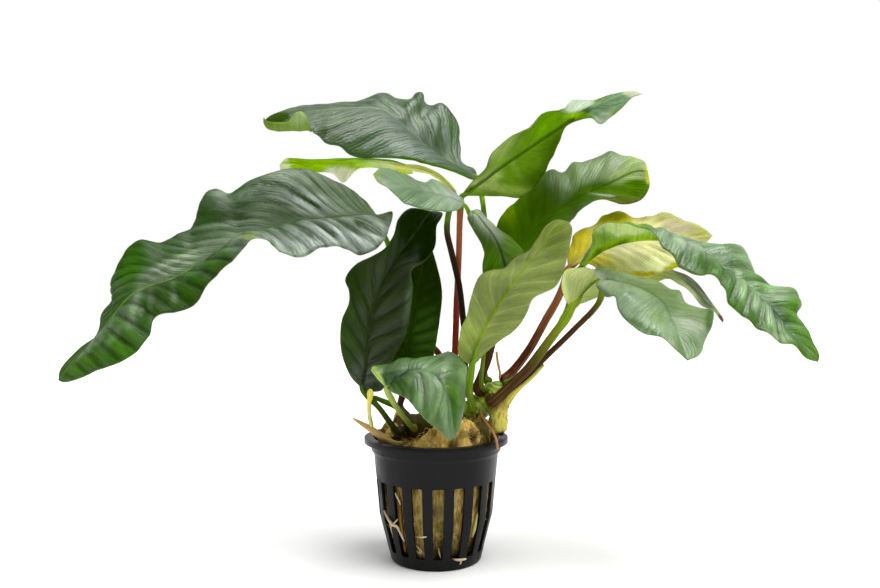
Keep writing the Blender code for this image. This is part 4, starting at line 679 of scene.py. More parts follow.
# Linear colours: light that has come through a leaf, specks on stalks and roots, floor, its clouds
THROUGH_LIGHT = (0.62, 0.90, 0.06)
SPECK = (0.03, 0.014, 0.005)
FLOOR_WHITE = (0.93, 0.93, 0.93)
FLOOR_CLOUD = (0.7, 0.7, 0.7)


def shade(red, green, blue):
    """A linear colour from a colour as it looks on a screen, 0 to 255."""
    linear = []
    for value in (red, green, blue):
        share = value / 255
        linear.append(share / 12.92 if share <= 0.04045 else ((share + 0.055) / 1.055) ** 2.4)
    return tuple(linear)


def seen(point):
    """The place, in metres, of an outline point: moved along the line of sight to its own depth."""
    across, depth, up = (value * MM for value in point)
    reach = (EYE_DISTANCE + depth) / EYE_DISTANCE
    return np.array([
        EYE_SIDE + (across - EYE_SIDE) * reach,
        depth,
        EYE_HEIGHT + (up - EYE_HEIGHT) * reach,
    ])


def drawn(places):
    """Where places in metres are seen on the upright plane: their across and up values in millimetres."""
    reach = (EYE_DISTANCE + places[..., 1]) / EYE_DISTANCE
    across = EYE_SIDE + (places[..., 0] - EYE_SIDE) / reach
    up = EYE_HEIGHT + (places[..., 2] - EYE_HEIGHT) / reach
    return across / MM, up / MM


def steps_along(line):
    """The distances between the neighbouring points of a line."""
    return np.linalg.norm(np.diff(np.asarray(line)[:, :3], axis=0), axis=1)


def line_length(line):
    return steps_along(line).sum()


def distances(line):
    """How far along a line each of its points is."""
    return np.concatenate([[0.0], np.cumsum(steps_along(line))])


def unit(vectors):
    return vectors / (np.linalg.norm(vectors, axis=-1, keepdims=True) + 1e-12)


def smooth_line(points, count):
    """A smooth curve through the points, as evenly spaced rows; columns past the third ride along."""
    points = np.asarray(points, float)
    ends = np.vstack([2 * points[0] - points[1], points, 2 * points[-1] - points[-2]])
    knots = np.concatenate([[0.0], np.cumsum(np.sqrt(steps_along(ends)) + 1e-9)])

    def between(times, a, b, first, second):
        span = knots[b] - knots[a]
        return (knots[b] - times) / span * first + (times - knots[a]) / span * second

    fine = []
    for i in range(1, len(ends) - 2):
        times = np.linspace(knots[i], knots[i + 1], 24, endpoint=i == len(ends) - 3)[:, None]
        first, second, third = (between(times, j, j + 1, ends[j], ends[j + 1]) for j in (i - 1, i, i + 1))
        low = between(times, i - 1, i + 1, first, second)
        high = between(times, i, i + 2, second, third)
        fine.append(between(times, i, i + 1, low, high))
    fine = np.vstack(fine)
    length = distances(fine)
    wanted = np.linspace(0.0, length[-1], count)
    return np.column_stack([np.interp(wanted, length, column) for column in fine.T])


def spaced_line(points, step_mm):
    """A smooth curve through the points with a row about every step."""
    return smooth_line(points, int(line_length(points) / (step_mm * MM)) + 4)


def smooth_step(low, high, value):
    share = np.clip((value - low) / (high - low), 0.0, 1.0)
    return share * share * (3 - 2 * share)


def wave(seed, count, positions):
    """A smooth seeded curve between -1 and 1 with about count swings over positions from 0 to 1."""
    knots = np.random.default_rng(seed).uniform(-1, 1, count + 3)
    place = np.clip(np.asarray(positions), 0, 1) * count + 1
    index = np.minimum(place.astype(int), count + 1)
    share = place - index
    share = share * share * (3 - 2 * share)
    return knots[index] * (1 - share) + knots[index + 1] * share


def spot(across, up, x, z, along_reach, cross_reach, turn):
    """How much a spot on the drawn plane holds at each place, 1 in its middle and 0 well outside."""
    angle = math.radians(turn)
    along = ((across - x) * math.cos(angle) + (up - z) * math.sin(angle)) / along_reach
    cross = ((up - z) * math.cos(angle) - (across - x) * math.sin(angle)) / cross_reach
    return np.exp(-(along ** 2 + cross ** 2))


def ring(radius, height, sides):
    """Points on a level circle round the pot's axis."""
    return [(radius * math.cos(angle), radius * math.sin(angle), height)
            for angle in np.linspace(0, 2 * math.pi, sides, endpoint=False)]


# Node trees


def feed(tree, socket, value):
    """Links an input to another node's socket, or sets it."""
    if isinstance(value, bpy.types.NodeSocket):
        tree.links.new(value, socket)
    else:
        socket.default_value = value


def add(tree, kind, inputs=None, **settings):
    """Adds a node, sets its properties, and links or sets its inputs."""
    node = tree.nodes.new(kind)
    for key, value in settings.items():
        setattr(node, key, value)
    for key, value in (inputs or {}).items():
        feed(tree, node.inputs[key], value)
    return node


def result(tree, kind, inputs=None, **settings):
    """The first output of a new node."""
    return add(tree, kind, inputs, **settings).outputs[0]


def math_node(tree, operation, *values):
    return result(tree, "ShaderNodeMath", dict(enumerate(values)), operation=operation)


def product(tree, first, second):
    return math_node(tree, "MULTIPLY", first, second)


def vector_math(tree, operation, *values):
    return result(tree, "ShaderNodeVectorMath", dict(enumerate(values)), operation=operation)


def scaled(tree, vector, factor):
    return result(tree, "ShaderNodeVectorMath", {0: vector, "Scale": factor}, operation="SCALE")


def parts_of(tree, vector):
    return add(tree, "ShaderNodeSeparateXYZ", {0: vector}).outputs


def geometry_tree(name, sockets):
    """A Geometry Nodes tree with a geometry input and output and the named inputs."""
    tree = bpy.data.node_groups.new(name, "GeometryNodeTree")
    tree.interface.new_socket("Geometry", in_out="INPUT", socket_type="NodeSocketGeometry")
    tree.interface.new_socket("Geometry", in_out="OUTPUT", socket_type="NodeSocketGeometry")
    for label, kind in sockets.items():
        tree.interface.new_socket(label, in_out="INPUT", socket_type="NodeSocket" + kind)
    return tree, add(tree, "NodeGroupInput").outputs


def close_tree(tree, geometry, finish):
    """Ends a tree: instances realized, smooth shading, material set."""
    real = result(tree, "GeometryNodeRealizeInstances", {"Geometry": geometry})
    smooth = result(tree, "GeometryNodeSetShadeSmooth", {"Geometry": real})
    painted = result(tree, "GeometryNodeSetMaterial", {"Geometry": smooth, "Material": finish})
    add(tree, "NodeGroupOutput", {"Geometry": painted})


def rod_tree():
    """Round rods along the edges of a mesh, as thick as its thickness attribute says, a little uneven."""
    tree, given = geometry_tree("Rod along a path", {
        "Sides": "Int", "Unevenness": "Float", "Grain": "Float", "Finish": "Material"})
    path = result(tree, "GeometryNodeMeshToCurve", {"Mesh": given["Geometry"]})
    thickness = result(tree, "GeometryNodeInputNamedAttribute", {"Name": "thickness"}, data_type="FLOAT")
    share = add(tree, "GeometryNodeSplineParameter").outputs["Factor"]
    marked = result(tree, "GeometryNodeStoreNamedAttribute", {
        "Geometry": path, "Name": "along", "Value": share}, data_type="FLOAT", domain="POINT")
    circle = result(tree, "GeometryNodeCurvePrimitiveCircle", {"Resolution": given["Sides"], "Radius": 1.0})
    position = result(tree, "GeometryNodeInputPosition")
    profile = result(tree, "GeometryNodeStoreNamedAttribute", {
        "Geometry": circle, "Name": "girth", "Value": position}, data_type="FLOAT_VECTOR", domain="POINT")
    rod = result(tree, "GeometryNodeCurveToMesh", {
        "Curve": marked, "Profile Curve": profile, "Scale": thickness, "Fill Caps": True})
    grain = result(tree, "ShaderNodeTexNoise", {"Scale": given["Grain"], "Detail": 3.0})
    lift = product(tree, math_node(tree, "SUBTRACT", grain, 0.5), given["Unevenness"])
    normal = result(tree, "GeometryNodeInputNormal")
    uneven = result(tree, "GeometryNodeSetPosition", {"Geometry": rod, "Offset": scaled(tree, normal, lift)})
    close_tree(tree, uneven, given["Finish"])


def fibre_tree():
    """Short bent fibres that lie on a surface at random."""
    tree, given = geometry_tree("Fibres on a surface", {
        "Density": "Float", "Length": "Float", "Thickness": "Float", "Lift": "Float", "Seed": "Int",
        "Finish": "Material"})
    facing = parts_of(tree, result(tree, "GeometryNodeInputNormal"))["Z"]
    height = parts_of(tree, result(tree, "GeometryNodeInputPosition"))["Z"]
    chosen = product(tree, math_node(tree, "GREATER_THAN", height, 0.004),
                     math_node(tree, "GREATER_THAN", facing, -0.5))
    scatter = add(tree, "GeometryNodeDistributePointsOnFaces", {
        "Mesh": given["Geometry"], "Density": given["Density"], "Seed": given["Seed"],
        "Selection": chosen}).outputs
    end = result(tree, "ShaderNodeCombineXYZ", {"X": given["Length"]})
    line = result(tree, "GeometryNodeCurvePrimitiveLine", {"End": end})
    parted = result(tree, "GeometryNodeResampleCurve", {"Curve": line, "Count": 6})
    share = add(tree, "GeometryNodeSplineParameter").outputs["Factor"]
    arch = product(tree, math_node(tree, "SINE", product(tree, share, math.pi)), given["Lift"])
    rise = result(tree, "ShaderNodeCombineXYZ", {"Z": arch})
    arched = result(tree, "GeometryNodeSetPosition", {"Geometry": parted, "Offset": rise})
    circle = result(tree, "GeometryNodeCurvePrimitiveCircle", {"Resolution": 3, "Radius": given["Thickness"]})
    strand = result(tree, "GeometryNodeCurveToMesh", {
        "Curve": arched, "Profile Curve": circle, "Fill Caps": True})
    spin = result(tree, "FunctionNodeRandomValue", {
        "Min": (-0.25, -0.25, 0.0), "Max": (0.25, 0.25, 2 * math.pi), "Seed": given["Seed"]},
        data_type="FLOAT_VECTOR")
    turn = result(tree, "FunctionNodeEulerToRotation", {0: spin})
    rotation = result(tree, "FunctionNodeRotateRotation", {0: scatter["Rotation"], 1: turn},
                      rotation_space="LOCAL")
    size = add(tree, "FunctionNodeRandomValue", {2: 0.4, 3: 1.3, "Seed": given["Seed"]}, data_type="FLOAT")
    placed = result(tree, "GeometryNodeInstanceOnPoints", {
        "Points": scatter["Points"], "Instance": strand, "Rotation": rotation, "Scale": size.outputs[1]})
    real = result(tree, "GeometryNodeRealizeInstances", {"Geometry": placed})
    drift = add(tree, "ShaderNodeTexNoise", {"Scale": 260.0, "Detail": 1.0}).outputs["Color"]
    bend = scaled(tree, vector_math(tree, "SUBTRACT", drift, (0.5, 0.5, 0.5)), given["Length"])
    bent = result(tree, "GeometryNodeSetPosition", {"Geometry": real, "Offset": bend})
    close_tree(tree, bent, given["Finish"])
    return tree


def slot_tree():
    """Cuts the same slot into a turned wall again and again, evenly round its axis."""
    tree, given = geometry_tree("Slots round a wall", {
        "Cutter": "Object", "Count": "Int", "Turn": "Float", "Finish": "Material"})
    points = result(tree, "GeometryNodePoints", {"Count": given["Count"]})
    share = math_node(tree, "DIVIDE", result(tree, "GeometryNodeInputIndex"), given["Count"])
    angle = math_node(tree, "ADD", product(tree, share, 2 * math.pi), given["Turn"])
    euler = result(tree, "ShaderNodeCombineXYZ", {"Z": angle})
    cutter = add(tree, "GeometryNodeObjectInfo", {"Object": given["Cutter"]}).outputs["Geometry"]
    rotation = result(tree, "FunctionNodeEulerToRotation", {0: euler})
    placed = result(tree, "GeometryNodeInstanceOnPoints", {
        "Points": points, "Instance": cutter, "Rotation": rotation})
    tools = result(tree, "GeometryNodeRealizeInstances", {"Geometry": placed})
    cut = result(tree, "GeometryNodeMeshBoolean", {"Mesh 1": given["Geometry"], "Mesh 2": tools},
                 operation="DIFFERENCE", solver="MANIFOLD")
    close_tree(tree, cut, given["Finish"])
    return tree


# Materials


def finish_of(name):
    return bpy.data.materials["finish_" + name]


def new_material(name):
    """The node tree of a new material without a surface, and its Object coordinates."""
    finish = bpy.data.materials.new("finish_" + name)
    finish.use_nodes = True
    tree = finish.node_tree
    tree.nodes.remove(tree.nodes["Principled BSDF"])
    return tree, add(tree, "ShaderNodeTexCoord").outputs["Object"]


def attribute(tree, name, output="Fac"):
    return add(tree, "ShaderNodeAttribute", attribute_name=name).outputs[output]


def noise_at(tree, vector, scale, detail=4.0, roughness=0.55):
    return result(tree, "ShaderNodeTexNoise", {
        "Vector": vector, "Scale": scale, "Detail": detail, "Roughness": roughness})


def ramp(tree, value, low, high, to_low=0.0, to_high=1.0):
    return result(tree, "ShaderNodeMapRange", {
        "Value": value, "From Min": low, "From Max": high, "To Min": to_low, "To Max": to_high},
        interpolation_type="SMOOTHSTEP")


def blended(tree, share, first, second):
    """A blend of two colours, each a socket or a linear colour."""
    first, second = ((*colour, 1.0) if isinstance(colour, tuple) else colour for colour in (first, second))
    return add(tree, "ShaderNodeMix", {0: share, 6: first, 7: second}, data_type="RGBA").outputs[2]


def skin_of(tree, colour, roughness, gloss, **relief):
    """A surface's shader; relief is the height, strength and distance of its bumps."""
    inputs = {"Base Color": colour, "Roughness": roughness, "Specular IOR Level": gloss}
    if relief:
        inputs["Normal"] = result(
            tree, "ShaderNodeBump", {key.capitalize(): value for key, value in relief.items()})
    return result(tree, "ShaderNodeBsdfPrincipled", inputs)


def cover(tree, shader):
    tree.links.new(shader, tree.nodes["Material Output"].inputs["Surface"])


def leaf_material(name, rough, gloss, vein_shade, glow, through, streaked):
    """Leaf skin: the painted tint with side veins, finer veins between them and cells. The greyer the tint,
    the thicker its wax and so its gloss."""
    tree, objects = new_material(name)
    tint = attribute(tree, "tint", "Color")
    phase = attribute(tree, "vein")
    edge = attribute(tree, "edge_mm")
    parts = add(tree, "ShaderNodeSeparateColor", {0: tint}).outputs
    wax = ramp(tree, math_node(tree, "DIVIDE", parts["Blue"], parts["Green"]), 0.0, 0.4, 0.0, gloss)
    drift = noise_at(tree, objects, 180.0)
    side = ramp(tree, math_node(tree, "PINGPONG", phase, 0.5), 0.09, 0.01)
    wavered = math_node(tree, "MULTIPLY_ADD", drift, 2.2, product(tree, phase, 4.0))
    fine = ramp(tree, math_node(tree, "PINGPONG", wavered, 0.5), 0.30, 0.0)
    cells = noise_at(tree, objects, 1700.0, 3.0)
    clouds = ramp(tree, noise_at(tree, objects, 75.0, 5.0), 0.3, 0.7, 0.80, 1.20)
    streak_place = result(tree, "ShaderNodeCombineXYZ", {
        "X": product(tree, phase, 4.5), "Y": product(tree, edge, 0.14)})
    streaks = noise_at(tree, streak_place, 1.0, 4.0, 0.6)
    mottle = product(tree, clouds, ramp(tree, cells, 0.2, 0.8, 0.90, 1.10))
    mottle = product(tree, mottle, ramp(tree, streaks, 0.3, 0.7, 1 - streaked, 1 + streaked))
    lines = product(tree, ramp(tree, side, 0.0, 1.0, 1.0, vein_shade),
                    ramp(tree, fine, 0.0, 1.0, 1.0, 0.7 + 0.3 * vein_shade))
    body = scaled(tree, tint, product(tree, mottle, lines))
    rimmed = blended(tree, ramp(tree, edge, 0.35, 0.1, 0.0, 0.18), body, shade(150, 175, 70))
    height = math_node(tree, "MULTIPLY_ADD", streaks, 9.0 * streaked, math_node(
        tree, "SUBTRACT", product(tree, cells, 0.8), fine))
    roughness = ramp(tree, drift, 0.25, 0.75, rough - 0.07, rough + 0.08)
    skin = skin_of(tree, rimmed, roughness, wax, height=height, strength=0.4, distance=0.00025)
    glowing = blended(tree, through, rimmed, THROUGH_LIGHT)
    light = result(tree, "ShaderNodeBsdfTranslucent", {"Color": glowing})
    cover(tree, result(tree, "ShaderNodeMixShader", {0: glow, 1: skin, 2: light}))


def rod_material(name, foot, top, streak, rough=0.45, change=(0.15, 0.95), between=None):
    """Stalk or root skin: from the foot's colour, by one between if given, to the top's, with streaks along
    it and small specks."""
    tree, objects = new_material(name)
    along = attribute(tree, "along")
    girth = vector_math(tree, "MULTIPLY", attribute(tree, "girth", "Vector"), (1.6, 1.6, 0.0))
    lengthwise = result(tree, "ShaderNodeCombineXYZ", {"Z": product(tree, along, 2.5)})
    streaks = noise_at(tree, vector_math(tree, "ADD", girth, lengthwise), 2.2, 5.0)
    clouds = noise_at(tree, objects, 260.0)
    drifted = math_node(tree, "MULTIPLY_ADD", clouds, 0.1, math_node(tree, "SUBTRACT", along, 0.05))
    colour = shade(*foot)
    if between:
        middle, low, high = between
        colour = blended(tree, ramp(tree, drifted, low, high), colour, shade(*middle))
    colour = blended(tree, ramp(tree, drifted, *change), colour, shade(*top))
    colour = blended(tree, ramp(tree, streaks, 0.5, 0.68, 0.0, 0.65), colour, shade(*streak))
    specks = noise_at(tree, objects, 1300.0, 2.0)
    colour = blended(tree, ramp(tree, specks, 0.66, 0.74, 0.0, 0.5), colour, SPECK)
    roughness = ramp(tree, clouds, 0.3, 0.7, rough - 0.08, rough + 0.12)
    cover(tree, skin_of(tree, colour, roughness, 0.06, height=math_node(tree, "ADD", streaks, specks),
                        strength=0.4, distance=0.0003))


def pot_material():
    """Black moulded plastic, finely grained, with faint dust and rubbed places."""
    tree, objects = new_material("black_plastic")
    grain = noise_at(tree, objects, 2600.0, 2.0)
    dust = ramp(tree, noise_at(tree, objects, 90.0, 6.0, 0.65), 0.48, 0.75)
    stretched = vector_math(tree, "MULTIPLY", objects, (1.0, 1.0, 12.0))
    rubs = ramp(tree, noise_at(tree, stretched, 300.0, 3.0), 0.6, 0.75)
    base = blended(tree, product(tree, dust, 0.4), shade(7, 7, 8), shade(30, 29, 27))
    worn = blended(tree, product(tree, rubs, 0.25), base, shade(40, 40, 39))
    cover(tree, skin_of(tree, worn, ramp(tree, dust, 0.0, 1.0, 0.36, 0.62), 0.15,
                        height=grain, strength=0.25, distance=0.00012))


def rockwool_material(name, light, mid, dark_and_shade_tone, moss):
    """Matted fibre: upright strands, painted shade in the hollows, a top painted lighter where light falls,
    darker patches low and on the left, green growth.
    """
    tree, objects = new_material(name)
    strands = noise_at(tree, vector_math(tree, "MULTIPLY", objects, (1.0, 1.0, 0.12)), 1300.0, 6.0, 0.7)
    smudges = noise_at(tree, vector_math(tree, "MULTIPLY", objects, (1.0, 1.0, 0.45)), 210.0, 5.0, 0.6)
    patches = noise_at(tree, objects, 75.0, 5.0, 0.6)
    parts = parts_of(tree, objects)
    crest = ramp(tree, parts["Z"], 0.041, 0.046)
    # Painted light: the plug's top, the crest, is painted lighter than its sides in the pot, where less light
    # falls
    lit = blended(tree, product(tree, crest, 0.8), light, shade(255, 220, 128))
    dim = blended(tree, crest, mid, shade(218, 160, 76))
    colour = blended(tree, ramp(tree, strands, 0.32, 0.56), dim, lit)
    colour = blended(tree, ramp(tree, smudges, 0.50, 0.66, 0.0, 0.8), colour, shade(92, 66, 24))
    # Darker patches low down and on the left side of the plug, none near its top
    low = ramp(tree, parts["Z"], 0.018, 0.003, 0.15, 0.95)
    side = ramp(tree, parts["X"], -0.006, -0.015, 0.0, 0.9)
    low_left_patches = product(tree, math_node(tree, "MAXIMUM", low, side), ramp(tree, patches, 0.42, 0.56))
    low_left_darkening = product(tree, low_left_patches, ramp(tree, parts["Z"], 0.036, 0.045, 1.0, 0.0))
    colour = blended(tree, low_left_darkening, colour, dark_and_shade_tone)
    growth = ramp(tree, noise_at(tree, objects, 95.0), 0.56, 0.64)
    colour = blended(tree, product(tree, growth, 0.6), colour, moss)
    for near, far, grain, thin, thick, tone in (
            (-0.006, -0.013, 330.0, 0.36, 0.52, shade(40, 36, 8)),
            (0.0130, 0.0160, 260.0, 0.34, 0.50, shade(52, 56, 14))):
        soil = ramp(tree, noise_at(tree, objects, grain, 5.0), thin, thick, 0.0, 0.9)
        corner = product(tree, ramp(tree, parts["X"], near, far), soil)
        colour = blended(tree, product(tree, corner, crest), colour, tone)
    # Painted shade in the hollows of the torn surface, in the same dark tone
    colour = blended(tree, product(tree, attribute(tree, "hollow_shade"), 0.92), colour, dark_and_shade_tone)
    cover(tree, skin_of(tree, colour, 0.92, 0.1, height=strands, strength=0.9, distance=0.0007))


def rhizome_material():
    """Waxy green rhizome skin, ringed with old leaf scars, brown in the creases."""
    tree, objects = new_material("rhizome_skin")
    clouds = noise_at(tree, objects, 170.0, 5.0)
    fine = noise_at(tree, objects, 900.0)
    turns = math_node(tree, "MULTIPLY_ADD", clouds, 0.8, product(tree, attribute(tree, "along"), 12.0))
    scar = ramp(tree, math_node(tree, "PINGPONG", turns, 0.5), 0.12, 0.02)
    across = parts_of(tree, objects)["X"]
    colour = blended(tree, ramp(tree, clouds, 0.32, 0.66), shade(96, 134, 8), shade(162, 184, 48))
    colour = blended(tree, ramp(tree, across, 0.012, 0.002, 0.0, 0.95), colour, shade(54, 44, 10))
    brown = ramp(tree, noise_at(tree, objects, 240.0, 5.0), 0.55, 0.68, 0.0, 0.6)
    colour = blended(tree, brown, colour, shade(92, 68, 24))
    colour = blended(tree, product(tree, scar, 0.7), colour, shade(70, 58, 22))
    gloss = ramp(tree, across, 0.002, 0.014, 0.06, 0.45)
    cover(tree, skin_of(tree, colour, ramp(tree, fine, 0.2, 0.8, 0.28, 0.46), gloss,
                        height=math_node(tree, "SUBTRACT", fine, scar), strength=0.5, distance=0.0004))


def floor_material():
    tree, objects = new_material("pale_floor")
    cloud = ramp(tree, noise_at(tree, objects, 3.0, 2.0), 0.3, 0.7, 0.0, 0.03)
    cover(tree, skin_of(tree, blended(tree, cloud, FLOOR_WHITE, FLOOR_CLOUD), 0.7, 0.1))


def make_materials():
    for kind, traits in LEAF_SKINS.items():
        for face_name, values in zip(("_top", "_underside"), traits):
            leaf_material(kind + face_name, *values)
    pot_material()
    for name, colours in WOOL_SKINS.items():
        rockwool_material(name, *(shade(*colour) for colour in colours))
    rhizome_material()
    for name, traits in ROD_SKINS.items():
        rod_material(name, *traits)
    floor_material()


# Pieces


def place(name, data, *materials):
    """A new object of the scene, with its materials if it is a mesh."""
    piece = bpy.data.objects.new(name, data)
    bpy.context.scene.collection.objects.link(piece)
    for finish in materials:
        data.materials.append(finish)
    return piece


def hand_over(piece, slot, *nodes):
    """The piece rides on the plant and stands for the nodes, which it hides; slot is not used."""
    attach(piece, "root")
    if nodes:
        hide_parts(*nodes)


def bake(piece):
    """Gives a piece the mesh that its modifiers make, in their place."""
    plain = bpy.data.meshes.new_from_object(piece.evaluated_get(bpy.context.evaluated_depsgraph_get()))
    piece.modifiers.clear()
    piece.data = plain
    return plain


def grown(name, mesh, tree, values):
    """A new object whose mesh is what the tree makes of the given mesh."""
    piece = place(name, mesh)
    modifier = piece.modifiers.new("Growth", "NODES")
    modifier.node_group = tree
    for socket in tree.interface.items_tree:
        if socket.in_out == "INPUT" and socket.name in values:
            modifier[socket.identifier] = values[socket.name]
    bake(piece).name = name
    return piece


def path_mesh(name, lines):
    """A mesh of bare edges along lines of (x, y, z, radius), with the radius kept as an attribute."""
    mesh = bpy.data.meshes.new(name)
    points = np.vstack(lines)
    edges = []
    start = 0
    for line in lines:
        edges += [(i, i + 1) for i in range(start, start + len(line) - 1)]
        start += len(line)
    mesh.from_pydata([tuple(row[:3]) for row in points], edges, [])
    mesh.attributes.new("thickness", "FLOAT", "POINT").data.foreach_set("value", points[:, 3])
    return mesh


def round_end(share, least):
    """How wide a round end is at each share of its length; its square is never below the least."""
    return np.sqrt(np.clip(1 - (1 - np.clip(share, 0, 1)) ** 2, least, 1))


def rounded(line):
    """A line of (x, y, z, radius) whose radius runs out in a round end at its first and last point."""
    gone = distances(line)
    for distance, radius in ((gone, line[0, 3]), (gone[-1] - gone, line[-1, 3])):
        line[:, 3] *= round_end(distance / radius, 0.04)
    return line


def make_rods(name, lines, finish, sides, unevenness, grain):
    return grown(name + "_piece", path_mesh(name, lines), bpy.data.node_groups["Rod along a path"], {
        "Sides": sides, "Unevenness": unevenness, "Grain": grain, "Finish": finish})


def blade_rows(leaf, count):
    """Midrib, left margin and right margin of a blade in even rows from base to tip."""
    midrib = [seen(point) for point in leaf["midrib"]]
    middle = smooth_line(midrib, count)
    left, right = (
        smooth_line([midrib[0]] + [seen(point) for point in leaf[side]] + [midrib[-1]], count)
        for side in ("left", "right"))
    return middle, left, right


def blade_normals(grid):
    return unit(np.cross(np.gradient(grid, axis=1), np.gradient(grid, axis=0)))


def sheet_faces(rows, columns):
    """The faces of a closed sheet: its top, the same for its underside, and its rim. Each of the two has its
    rows of points, then its base and its tip."""
    base, tip, size = rows * columns, rows * columns + 1, rows * columns + 2
    faces = [(a, a + 1, a + 1 + columns, a + columns)
             for i in range(rows - 1) for a in range(i * columns, (i + 1) * columns - 1)]
    last = base - columns
    for j in range(columns - 1):
        faces += [(base, j + 1, j), (last + j, last + j + 1, tip)]
    faces += [tuple(size + k for k in reversed(corners)) for corners in faces]
    for column, turned_over in ((0, False), (columns - 1, True)):
        rim = [base] + [i * columns + column for i in range(rows)] + [tip]
        for a, b in zip(rim, rim[1:]):
            side = (a, b, size + b, size + a)
            faces.append(side[::-1] if turned_over else side)
    return faces


def make_blade(name, leaf, sizes):
    """A closed sheet with its own top and underside, veins, swellings, forms and ruffled margins."""
    finish = {**PLAIN_BLADE, **BLADES[name]}
    seed = sum(ord(letter) for letter in name)
    count = int(line_length([seen(point) for point in leaf["midrib"]]) / (ROW_SPACING_MM * MM)) + 2
    middle, left, right = blade_rows(leaf, count)
    steps = np.linspace(-1, 1, 2 * HALF_COLUMNS + 1)
    t = np.linspace(0, 1, count)[:, None]
    s = (np.sign(steps) * np.abs(steps) ** COLUMN_POWER)[None, :]
    share = np.abs(s)
    face = unit(np.cross(right - left, np.gradient(middle, axis=0)))
    edge = np.where(s[..., None] < 0, left[:, None, :], right[:, None, :])
    reach = edge - middle[:, None, :]
    width = np.linalg.norm(reach, axis=2)
    folded = np.zeros((*width.shape, 3))
    for side, fold_share, route in LIPS.get(name, []):
        stations, rise, step = np.array(route).T
        held = smooth_step(stations[0], stations[1], t) * (s * side > 0)
        fold = 1 - held * (1 - fold_share)
        beyond = np.clip((share - fold) / np.maximum(1 - fold, 1e-6), 0, 1) * (held > 0)
        share = np.minimum(share / fold, 1.0)
        folded[..., 1] = -np.interp(t, stations, step) * np.sin(np.pi * 0.6 * beyond) * MM
        folded[..., 2] = np.interp(t, stations, rise) * beyond ** 1.3 * MM
    share = np.broadcast_to(share, width.shape)
    dome = np.where(s < 0, *finish["camber"]) * sizes.camber * width * 4 * share * (1 - share)
    grid = middle[:, None, :] + reach * share[..., None] + face[:, None, :] * dome[..., None] + folded
    normal = blade_normals(grid)
    across, up = drawn(grid)
    lift = np.zeros_like(width)
    phase = np.zeros_like(width)
    ends = smooth_step(0.0, 0.10, t) * (1 - smooth_step(0.88, 1.0, t))
    envelope = smooth_step(0.02, 0.25, share) * (1 - 0.6 * smooth_step(0.75, 1.0, share))
    narrow = np.clip(width / NARROW_WIDTH, 0.25, 1.0)
    for side, veins, slant, swell in zip((-1, 1), finish["veins"], finish["slant"], finish["swell"]):
        half = (s * side > 0) | ((s == 0) & (side > 0))
        lean = slant + sum(
            extra * np.exp(-((t - centre) / spread) ** 2)
            for half_side, centre, spread, extra in finish["bends"] if half_side == side)
        turns = veins * (t - lean * share ** VEIN_CURVE) + VEIN_WANDER * wave(seed + side, 5, t)
        turns += RIGHT_SHIFT * (side > 0)
        pillow = np.abs(np.sin(np.pi * turns)) ** PILLOW_POWER - VEIN_DEPTH
        strength = swell * (0.75 + 0.35 * wave(seed + 7 * side, veins, t))
        ruffle = finish["ruffle"] * sum(
            part * wave(seed + step + side, number, t) for part, step, number in RUFFLES)
        swollen = pillow * strength * envelope * ends * narrow * sizes.relief + ruffle * share ** 4 * ends
        lift = np.where(half, swollen, lift)
        phase = np.where(half, turns, phase)
    pillows = lift.copy()
    for x, z, along_reach, cross_reach, turn, height in FORMS.get(name, []):
        lift += height * spot(across, up, x, z, along_reach, cross_reach, turn)
    grid = grid + normal * lift[..., None] * MM
    normal = blade_normals(grid)
    rib_mm = width * share / MM
    taper = 1 - 0.75 * t
    slender = np.clip((width[:, :1] + width[:, -1:]) / (4 * MM), NARROWEST, 1)
    groove = GROOVE_MM * taper * np.exp(-(rib_mm / GROOVE_REACH_MM) ** 2)
    keel = finish["keel_mm"] * taper * np.exp(-(rib_mm / KEEL_SPREAD_MM) ** 2) * smooth_step(0.0, 0.03, 1 - t)
    thick = sizes.thickness / MM * (1 - MARGIN_THINNING * share ** 4) * slender
    top = grid + normal * ((thick / 2 - groove) * MM)[..., None]
    under = grid - normal * ((thick / 2 + keel * slender) * MM)[..., None]
    rows, columns = count - 2, s.shape[1]

    def painted(face_name, rib_name):
        colour = np.zeros((count, columns, 3)) + shade(*finish[face_name])

        def patch_up(wanted):
            for x, z, along_reach, cross_reach, turn, tone, strength in PATCHES.get(name, {}).get(wanted, []):
                steep, cut = FIRM_EDGE if strength == 1 else SOFT_EDGE
                weight = spot(across, up, x, z, along_reach, cross_reach, turn)
                weight = np.clip(steep * weight - cut, 0, 1)
                colour[:] += (shade(*tone) - colour) * (weight * strength)[..., None]

        patch_up(face_name)
        # Painted shade darkens the hollows between the swellings, and painted light brightens the swellings
        painted_crease_shade = finish["painted_crease_shade"] * (PAINTED_SHADE_BELOW if face_name == "under" else 1.0)
        colour *= np.clip(1 + painted_crease_shade * pillows, *PAINTED_SHADE_LIMITS)[..., None]
        # Painted shade along the sunken side veins of the top face
        line = np.exp(-((phase - np.round(phase)) / PAINTED_VEIN_SHADE_WIDTH) ** 2) * smooth_step(0.03, 0.2, share)
        colour *= 1 - finish["painted_vein_shade"] * line[..., None] * (face_name == "top")
        rib = np.exp(-(rib_mm / finish[rib_name + "_reach_mm"]) ** 4) * np.clip(width / MM / 3, 0, 1)
        colour += (shade(*finish[rib_name]) - colour) * (RIB_STRENGTH * rib)[..., None]
        patch_up(face_name + " last")
        return np.concatenate([colour, np.ones((count, columns, 1))], axis=2)

    def flat(values):
        """Rows between the poles first, then the base and the tip."""
        poles = values[[0, -1], columns // 2]
        return np.concatenate([values[1:-1].reshape(rows * columns, -1), poles.reshape(2, -1)])

